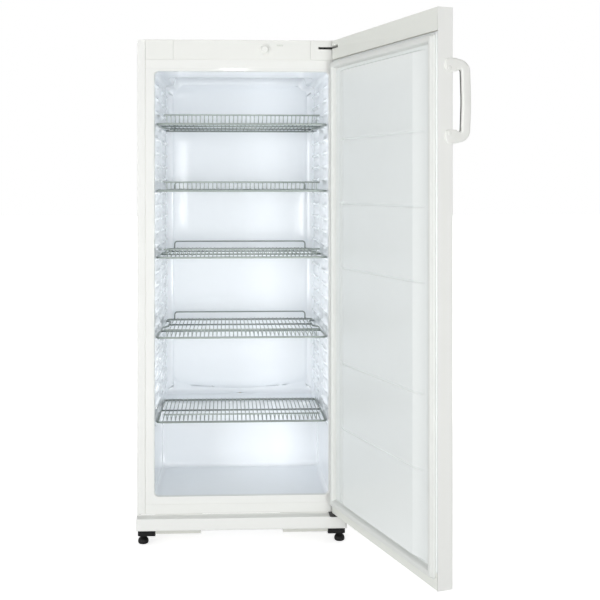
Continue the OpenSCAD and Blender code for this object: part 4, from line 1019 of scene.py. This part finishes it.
def linerRows():
    # depth of each loop behind the front, and how far it is drawn in at the lip and at the rear corner
    s = liner
    lip = np.linspace(0, math.pi / 2, 4)
    reach = np.array([5.0, 10.0, 12.0, 14.5, 16.5, 19.5, 22.6, 23.7, 24.0])
    turn = np.arcsin(reach / s["rearRadius"])
    straight = lines((s["lipRadius"], 19, 3), *linerStops)
    y = np.concatenate([[0, 0], s["lipRadius"] * (1 - np.cos(lip)), straight[1:],
                        s["rear"] - s["rearRadius"] + s["rearRadius"] * np.sin(turn)])
    draw = np.concatenate([[0, -s["lipRadius"] - 0.5], -s["lipRadius"] * (1 - np.sin(lip)), 0 * straight[1:],
                           s["rearRadius"] * (1 - np.cos(turn))])
    return y, draw


def linerHalf(y, floor):
    # right half of every loop: floor, corner, wall with the supports' heights, corner, ceiling
    s = liner
    wide = wallAt(y)[:, None]
    r = s["openingRadius"]
    flat = np.concatenate([[0, 0.0071, 0.0211], np.linspace(0.07, 1, 12)])
    quarter = np.linspace(0, math.pi / 2, 6)[1:-1]
    ribZ = firstRib + ribPitch * np.arange(s["ribs"])
    fixed = np.sort(np.concatenate([(ribZ[:, None] + ribLines).ravel(), ribZ[:-1] + ribPitch / 2 + 2]))
    base = firstRib - 11.0
    lowest = s["floor"] + r
    lowRib = (s["lowRib"] + ribLines - lowest) / (base - lowest)
    low = np.concatenate([np.linspace(0, 0.76, 6), lowRib, [0.96]])
    top = np.array([s["ceiling"] - r - 6, s["ceiling"] - r])
    over = lines((0, 0.6, 6), (0.7, 0.82, 3), (0.84, 1.0, 12))[::-1]
    depth, foot = y[:, None], floor[:, None]
    return np.concatenate([
        stacked(flat * (wide - r), depth, foot),
        stacked(wide - r + r * np.sin(quarter), depth, foot + r - r * np.cos(quarter)),
        stacked(wide, depth, foot + r + low * (base - foot - r)),
        stacked(wide, depth, fixed),
        stacked(wide, depth, top),
        stacked(wide - r + r * np.cos(quarter), depth, s["ceiling"] - r + r * np.sin(quarter)),
        stacked(over * (wide - r), depth, s["ceiling"])], axis=1)


def makeLiner():
    # loops from the flange to the rear corner, shaped by supports, step and ceiling, then rings over the
    # rear wall
    s = liner
    y, draw = linerRows()
    k = np.clip((y - s["stepY"]) / s["stepLean"], 0, 1)
    floor = s["floor"] + (s["stepZ"] - s["floor"]) * np.clip(smoothStep(k) * 0.12 + k * 0.88, 0, 1)
    # a rounded foot where the floor meets the step
    bend = s["footRadius"]
    into = np.clip(y - s["stepY"] + bend, 0, bend)
    floor = np.maximum(floor, s["floor"] + bend - np.sqrt(bend ** 2 - into ** 2))
    wide = wallAt(y)
    r = s["openingRadius"]
    right = linerHalf(y, floor)
    # supports stand out of the side walls: they rise slowly from the front and end steeply
    px, py, pz = right[..., 0], right[..., 1], right[..., 2]
    along = [smoothStep((py - start) / rise) * smoothStep((start + length - py) / fall)
             for start, length, rise, fall in (s["frontRib"], s["rearRib"])]
    number = np.clip(np.round((pz - firstRib - 2.5) / ribPitch), 0, s["ribs"] - 1)
    across = softBox(pz - (firstRib + number * ribPitch), *s["ribHigh"])
    lowAcross = softBox(pz - s["lowRib"], *s["ribHigh"]) * (py < s["stepY"] - 1)
    onWall = np.abs(px - wallAt(py)) < 0.5
    out = np.maximum(across, lowAcross) * np.maximum(*along) * onWall * s["ribOut"]
    right[..., 0] = px - out
    # the ceiling is higher behind its front strip, with rounded front corners
    inner = wallAt(s["rear"]) - s["rearRadius"]
    dx = np.maximum(np.abs(px) - (inner - s["riseRadius"]), 0)
    dy = np.maximum(s["riseStart"] + s["riseRadius"] - py, 0)
    edge = s["riseRadius"] - np.hypot(dx, dy)
    lift = smoothStep(edge / 10.0) * s["rise"] * (np.abs(pz - s["ceiling"]) < 0.5)
    right[..., 2] = pz + lift
    # draw the loops in at the lip and at the rear corner
    pull = draw[:, None]
    sideways = np.clip((right[..., 0] - (wide - r)[:, None]) / r, 0, 1)
    share = np.where(right[..., 0] > 1, np.maximum(sideways, right[..., 0] / wide[:, None]), 0)
    right[..., 0] -= pull * share
    nearFloor = right[..., 2] < (floor + r)[:, None] + 0.01
    nearTop = right[..., 2] > s["ceiling"] - r - 0.01
    right[..., 2] -= pull * np.where(nearFloor, -0.6, np.where(nearTop, 1.0, 0.0))
    # the flange's outer edge
    flange = right[0]
    onSide = flange[:, 0] > wide[0] - r - 0.01
    flange[:, 0] = np.where(onSide, s["flangeX"], flange[:, 0] / (wide[0] - r) * s["flangeX"])
    low = s["floor"] + r + 0.01
    high = s["ceiling"] - r - 0.01
    between = s["flangeLow"] + (right[1, :, 2] - low) / (high - low) * (s["flangeHigh"] - s["flangeLow"])
    outside = np.where(right[1, :, 2] > high, s["flangeHigh"], between)
    flange[:, 2] = np.where(right[1, :, 2] < low, s["flangeLow"], outside)
    right[0] = flange
    right[0, :, 1] = 0
    left = right[:, -2:0:-1].copy()
    left[..., 0] *= -1
    loop = np.concatenate([right, left], axis=1)
    # the drain's mouth: points round it move on to a circle
    hole = s["drain"]
    dx, dy = np.abs(loop[..., 0]), np.abs(loop[..., 1] - hole["y"])
    inHole = (dx < hole["reach"][0]) & (dy < hole["reach"][1]) & (loop[..., 2] < hole["below"])
    rim = inHole & ((dx > hole["core"][0]) | (dy > hole["core"][1]))
    away = loop[rim][:, :2] - np.array([0, hole["y"]])
    on = np.array([0, hole["y"]]) + unit(away) * hole["radius"]
    bend = s["rearRadius"]
    rise = bend - np.sqrt(bend ** 2 - (on[:, 1] - (s["rear"] - bend)) ** 2)
    loop[rim] = stacked(on[:, 0], on[:, 1], s["stepZ"] + rise * 0.6)
    # one more loop close to the flange's edge keeps the flange flat in the shading
    loop = np.concatenate([loop[:1], loop[:1] + (loop[1:2] - loop[:1]) * 0.05, loop[1:]])
    inHole = np.concatenate([inHole[:1], inHole])
    # the rear wall: rings that close in on the raised field over the evaporator, and then on its middle
    last = loop[-1]
    outline = fieldOutline(last)
    field = s["field"]
    middle = np.array([0.0, s["rear"], field["middle"]])
    rings = [last + (outline - last) * k for k in (0.35, 0.7)]
    steps = [(1.012, 0.0), (1.006, 0.3), (1.0, 1.2), (0.993, 2.4), (0.985, 3.0), (0.96, 3.0), (0.9, 3.0)]
    steps += [(k, 3.0) for k in np.linspace(0.8, 0.08, 9)]
    for grow, forward in steps:
        ring = middle + (outline - middle) * grow
        ring[:, 1] = s["rear"] - forward
        rings.append(ring)
    grid = np.concatenate([loop, np.stack(rings)])
    grid[..., 1] += place["front"]
    rows, columns = grid.shape[:2]
    centre = [[0, place["front"] + s["rear"] - field["out"], field["middle"]]]
    points = np.concatenate([grid.reshape(-1, 3), centre])
    ring = np.arange((rows - 1) * columns, rows * columns)
    quads = gridFaces(rows, columns, True)
    flags = np.concatenate([inHole.ravel(), np.zeros(len(points) - inHole.size, dtype=bool)])
    quads = quads[~flags[quads].all(axis=1)]
    piece = putInScene("liner_shell", points, quads, fanFaces(ring, rows * columns, False))
    thicken(piece, s["sheet"])
    return dress(piece, "cabinet", "liner_plastic", "inner_liner")


linerPiece = makeLiner()
print("liner done:", len(linerPiece.data.polygons), "faces")


# Door shell: a steel sheet bent round the front and both edges
doorSheet = {"radius": 3.2, "sheet": 1.0, "slot": (1424.5, 1431.5), "slotFrom": -303.0}


def makeDoorShell():
    # the bend's outline in plan carried up the door, with the hinge plate's slot left out of its edge
    s = doorSheet
    w = place["halfWidth"]
    inner, outer = place["doorInner"], place["doorOuter"]
    corners = [(-w, inner), (-w, outer), (w, outer), (w, s["slotFrom"]), (w, inner)]
    plan = bentPath(corners, [0, s["radius"], s["radius"], 0, 0], 8)
    points, quads = carriedUp(plan, [doorLow[2], *sheetRows, *s["slot"], doorHigh[2]])
    kept = [quads[:4].reshape(-1, 4), quads[4, :-1], quads[5:].reshape(-1, 4)]
    piece = putInScene("door_shell", atDoor(points), np.concatenate(kept))
    keepFlat(thicken(turnFrom(piece, atDoor([0, inner, sheetRows[1]])), s["sheet"]))
    return dress(piece, "door", "white_steel", "door_outer_panel")


makeDoorShell()

# Door lining: a thin sheet with a raised middle, grooves and soft slopes
lining = {"half": 249.0, "slope": 52.0, "rise": 11.0, "low": 140.0, "high": 1357.5, "endSlope": 6.0,
          "grooves": (356.0, 537.0, 802.0, 982.0, 1161.0), "grooveWidth": 7.0, "grooveDeep": 2.5,
          "grooveEnd": 20.0, "edge": 298.9, "bottom": 132.5, "top": 1390.6, "sheet": 1.8}
grooveLines = np.array([-9, -6, -4.5, -3.4, -2.3, -1.2, 0, 1.2, 2.3, 3.4, 4.5, 6, 9])


def makeDoorLining():
    # height over the door's inner face: slopes at both sides, short steps at the ends, grooves across
    s = lining
    h = s["half"]
    side = lines((0, 185, 8), (188, 202, 8), (206, 240, 6), (243, 253, 6), (258, s["edge"], 4))
    x = np.concatenate([-side[:0:-1], side])
    z = [[s["bottom"], 136.0], np.linspace(s["low"] - 0.5, s["low"] + 8, 8)]
    z += [g + grooveLines for g in s["grooves"]]
    z += [np.linspace(s["high"] - 8, s["high"] + 0.5, 8), [1372.0, s["top"]]]
    z = np.unique(np.concatenate(z + [np.linspace(165, 1335, 40)]).round(3))
    x, z = np.meshgrid(x, z)
    k = np.clip((h - np.abs(x)) / s["slope"], 0, 1)
    # a straight slope whose foot and head are eased over a few millimetres
    eased = np.clip(1.06 * (k - 0.03), 0, 1)
    slope = 0.25 * smoothStep(k) + 0.75 * eased
    ends = smoothStep((z - s["low"]) / s["endSlope"]) * smoothStep((s["high"] - z) / s["endSlope"])
    height = s["rise"] * slope * ends
    for g in s["grooves"]:
        cut = np.exp(-((z - g) / (s["grooveWidth"] * 0.36)) ** 2)
        inside = smoothStep((h - 4 - np.abs(x)) / s["grooveEnd"])
        height = height - s["grooveDeep"] * cut * inside * ends
    points = atDoor(stacked(x, place["doorInner"] + np.maximum(height, 0), z))
    piece = putInScene("door_lining_sheet", points, gridFaces(*x.shape, False)[:, ::-1])
    thicken(piece, s["sheet"])
    return dress(piece, "door", "lining_plastic", "door_lining")


makeDoorLining()

# Door seal: foot, bellows and magnet bar in one profile of (distance from the edge, height)
seal = {"edge": 8.0, "low": 117.0, "high": 1386.0, "corner": 8.0, "innerCorner": 3.0,
        "profile": [(0.3, 0.0), (0.3, 4.4), (0.9, 5.2), (2.0, 5.4), (2.6, 5.9), (2.2, 6.6), (2.1, 8.6),
                    (2.7, 9.3), (3.6, 9.6), (3.9, 10.2), (3.5, 10.8), (3.6, 12.3), (4.7, 13.3), (14.6, 13.3),
                    (16.4, 12.6), (17.8, 10.6), (18.4, 9.4), (18.9, 8.8), (19.5, 6.4), (20.2, 3.6),
                    (21.0, 1.6), (21.7, 0.6), (21.7, 0.0)]}


def makeSeal():
    # each point of the profile is a rounded rectangle drawn in from the door's edge
    s = seal
    rings = []
    for inset, height in s["profile"]:
        x = place["halfWidth"] - s["edge"] - inset
        corner = max(s["corner"] - inset * 0.25, s["innerCorner"])
        flat = roundedRectangle(-x, x, s["low"] + inset, s["high"] - inset, corner, 7)
        rings.append(stacked(flat[:, 0], place["doorInner"] + height, flat[:, 1]))
    closedPiece("door_gasket", [gridParts(atDoor(np.stack(rings)), True)], "door", "seal_rubber", "door_seal")


makeSeal()

# Handle: a bow grip in two shells, on two plates at the door's edge
handle = {"low": 1130.0, "length": 200.0, "out": 48.0, "gripDeep": 24.0, "gripWide": 14.0, "arm": 31.0,
          "foot": 4.0, "corner": 17.0, "bulge": 3.0, "backWide": 5.0, "bow": 400, "square": 0.6, "rings": 96,
          "sides": 40, "screws": (1154.0, 1306.0), "screwY": -298.5, "cap": 4.8, "padShift": (-7.2, 7.2),
          "padHalf": 15.3, "padFrom": -318.4, "padEnd": -287.5}


def makeHandle():
    # a rounded section carried along a bow: straight arms, a bent corner, a slightly bulging grip
    s = handle
    outer = place["doorOuter"]
    bottom, top = s["low"], s["low"] + s["length"]
    low, high = bottom + s["arm"] / 2, top - s["arm"] / 2
    far = outer - s["out"] + s["gripDeep"] / 2
    near = far + s["bulge"]
    start = outer - 0.3
    corners = [(0, start, low), (0, near, low), (0, far, (low + high) / 2), (0, near, high), (0, start, high)]
    path = bentPath(corners, [0, s["corner"], s["bow"], s["corner"], 0], 16)
    along = np.concatenate([[0], np.cumsum(np.linalg.norm(np.diff(path, axis=0), axis=1))])
    even = np.linspace(0, along[-1], s["rings"])
    path = stacked(*[np.interp(even, along, path[:, i]) for i in range(3)])
    # the arms are thicker than the grip, down to their feet
    spread = (s["arm"] - s["gripDeep"]) / 2 * smoothStep((22 - (outer - path[:, 1])) / 18)
    thick = s["gripDeep"] / 2 + spread
    turn = np.arange(s["sides"]) * 2 * math.pi / s["sides"]
    across, inward = (np.sign(v) * np.abs(v) ** s["square"] for v in (np.cos(turn), np.sin(turn)))
    plane = unit(np.cross(np.broadcast_to(np.array([1.0, 0, 0]), path.shape), np.gradient(path, axis=0)))
    side = -place["halfWidth"] - s["foot"]

    def shell(centre, half, inset):
        ring = path[:, None] + plane[:, None] * ((thick - inset)[:, None] * inward[None])[..., None]
        ring[..., 0] = side + s["gripWide"] / 2 + centre + half * across
        ring[..., 2] = np.clip(ring[..., 2], bottom + 0.2 + inset, top - 0.2 - inset)
        ring[..., 1] = np.clip(ring[..., 1], outer - s["out"] + 0.2 + inset, start)
        return [gridParts(atDoor(ring))]

    back = s["backWide"] / 2
    front = (s["gripWide"] - s["backWide"]) / 2
    bow = shell(0.3 - back, front + 0.3, 0.0)
    closedPiece("handle_bow", bow, "door", "white_plastic", "door_handle")
    # a dark back shell: the handle's back cover, whose dark grey is also painted shade for the shadow on the
    # grip's inner side
    rear = shell(front - 0.1, back + 0.1, 0.7)
    closedPiece("handle_shaded_back", rear, "door", "white_plastic", material=gripBackShade)
    pads, caps = [], []
    w = place["halfWidth"]
    r = s["cap"]
    y0, y1 = s["padFrom"], s["padEnd"]
    for screwZ, shift in zip(s["screws"], s["padShift"]):
        low, high = screwZ + shift - s["padHalf"], screwZ + shift + s["padHalf"]
        plan = bentPath([(y0, low), (y1, low), (y1, high), (y0, high)], [3, 10, 10, 3], 7, True)
        rows = raised(plan, [(w, 0.0), (w + 2.6, 0.0), (w + 3.4, 0.4), (w + 3.9, 1.2), (w + s["foot"], 2.6)])
        pads.append(gridParts(atDoor(stacked(-rows[..., 2], rows[..., 0], rows[..., 1]))))
        dome = turned([(r, 0.0), (r, 0.9), (r - 0.5, 1.35), (r - 1.8, 1.6), (0.4, 1.7)], (0, 0, 0), 32)
        dome = stacked(side + 0.7 - dome[..., 2], s["screwY"] + dome[..., 0], screwZ + dome[..., 1])
        caps.append(gridParts(atDoor(dome)))
    closedPiece("handle_pads", pads, "door", "white_plastic")
    closedPiece("screw_cap_domes", caps, "door", "white_plastic", "handle_screw_caps")


makeHandle()
print("door done")

# Stage and light
stageLook = {"floorSize": 30.0, "floorGlow": 0.72, "farGlow": 1.0, "nearEdge": 0.75, "farEdge": 2.2,
             "ambient": 0.315, "paper": (0.9, 0.9, 0.9, 1), "white": (1, 1, 1, 1)}


def seenRay(t):
    # 1 where a camera, mirror or glass ray looks, 0 for the light that falls on the object
    ray = addNode(t, "ShaderNodeLightPath").outputs
    mirrored = maths(t, "MAXIMUM", ray["Is Glossy Ray"], ray["Is Transmission Ray"])
    return maths(t, "MAXIMUM", ray["Is Camera Ray"], mirrored)


def makeFloor():
    # the sheet is white far from the object, and a little darker near it so that shadows show
    s = stageLook
    size = s["floorSize"]
    sheet = bpy.data.meshes.new("floor")
    corners = [(-size, -size, 0), (size, -size, 0), (size, size, 0), (-size, size, 0)]
    sheet.from_pydata(corners, [], [(0, 1, 2, 3)])
    material = bpy.data.materials.new("studioFloor")
    material.use_nodes = True
    t = material.node_tree
    away = addNode(t, "ShaderNodeVectorMath", {0: objectPlace(t)}, operation="LENGTH").outputs["Value"]
    edges = {"Value": away, "From Min": s["nearEdge"], "From Max": s["farEdge"], "To Min": s["floorGlow"],
             "To Max": s["farGlow"]}
    far = addNode(t, "ShaderNodeMapRange", edges, interpolation_type="SMOOTHSTEP").outputs[0]
    feed(t, t.nodes["Principled BSDF"], {
        "Base Color": s["paper"], "Roughness": 0.9, "Specular IOR Level": 0.1, "Emission Color": s["white"],
        "Emission Strength": maths(t, "MULTIPLY", seenRay(t), far)})
    sheet.materials.append(material)
    addObject("floor", sheet)


def makeWorld():
    # white where it is seen, and a softer light on the object
    world = bpy.data.worlds.new("studio")
    bpy.context.scene.world = world
    world.use_nodes = True
    t = world.node_tree
    t.nodes.clear()
    white = stageLook["white"]
    lit, seen = [addNode(t, "ShaderNodeBackground", {"Color": white, "Strength": strength}).outputs[0]
                 for strength in (stageLook["ambient"], 1.0)]
    mix = addNode(t, "ShaderNodeMixShader", {0: seenRay(t), 1: lit, 2: seen}).outputs[0]
    addNode(t, "ShaderNodeOutputWorld", {0: mix})


# insideFill lies in the plane of the opening and isn't mirrored in the door or the liner
lamps = {
    "keyBox": {"where": (0.0, -3.0, 1.71), "aim": (0.0, 0.0, 0.85), "size": (0.12, 0.07), "power": 1.15},
    "frontBox": {"where": (0.0, -4.2, 1.5), "aim": (0.0, 0.0, 1.0), "size": (5.0, 2.8), "power": 10.0},
    "leftStrip": {"where": (-0.33, -3.05, 1.04), "aim": (-0.33, 0.0, 1.04), "size": (0.045, 0.55),
                  "power": 0.55},
    "rightStrip": {"where": (0.45, -3.05, 0.85), "aim": (0.45, 0.0, 0.85), "size": (0.05, 0.3),
                   "power": 0.35},
    "insideFill": {"where": (0.0, -0.25, 0.86), "aim": (0.0, 0.0, 0.86), "size": (0.46, 0.98), "power": 1.2,
                   "mirrored": False},
    "leftBox": {"where": (-3.3, -1.0, 1.2), "aim": (0.4, -0.6, 0.8), "size": (1.8, 2.2), "power": 8.0},
    "leftWide": {"where": (-2.7, -3.3, 0.8), "aim": (0.1, -0.2, 0.9), "size": (1.6, 1.5), "power": 60.0},
    "rightLow": {"where": (1.15, -4.4, 0.6), "aim": (-0.1, 0.0, 0.8), "size": (0.9, 1.1), "power": 46.0},
    "topBox": {"where": (0.0, -1.6, 3.4), "aim": (0.0, -0.5, 0.0), "size": (3.0, 2.6), "power": 7.0},
}


def addLamp(name, s):
    data = bpy.data.lights.new(name, "AREA")
    data.shape = "RECTANGLE"
    data.size, data.size_y = s["size"]
    data.energy = s["power"]
    lamp = addObject(name, data)
    lamp.location = s["where"]
    lamp.rotation_euler = (Vector(s["aim"]) - Vector(s["where"])).to_track_quat("-Z", "Y").to_euler()
    lamp.visible_camera = False
    lamp.visible_glossy = s.get("mirrored", True)


makeFloor()
makeWorld()
for lampName, lampValues in lamps.items():
    addLamp(lampName, lampValues)
print("stage done")
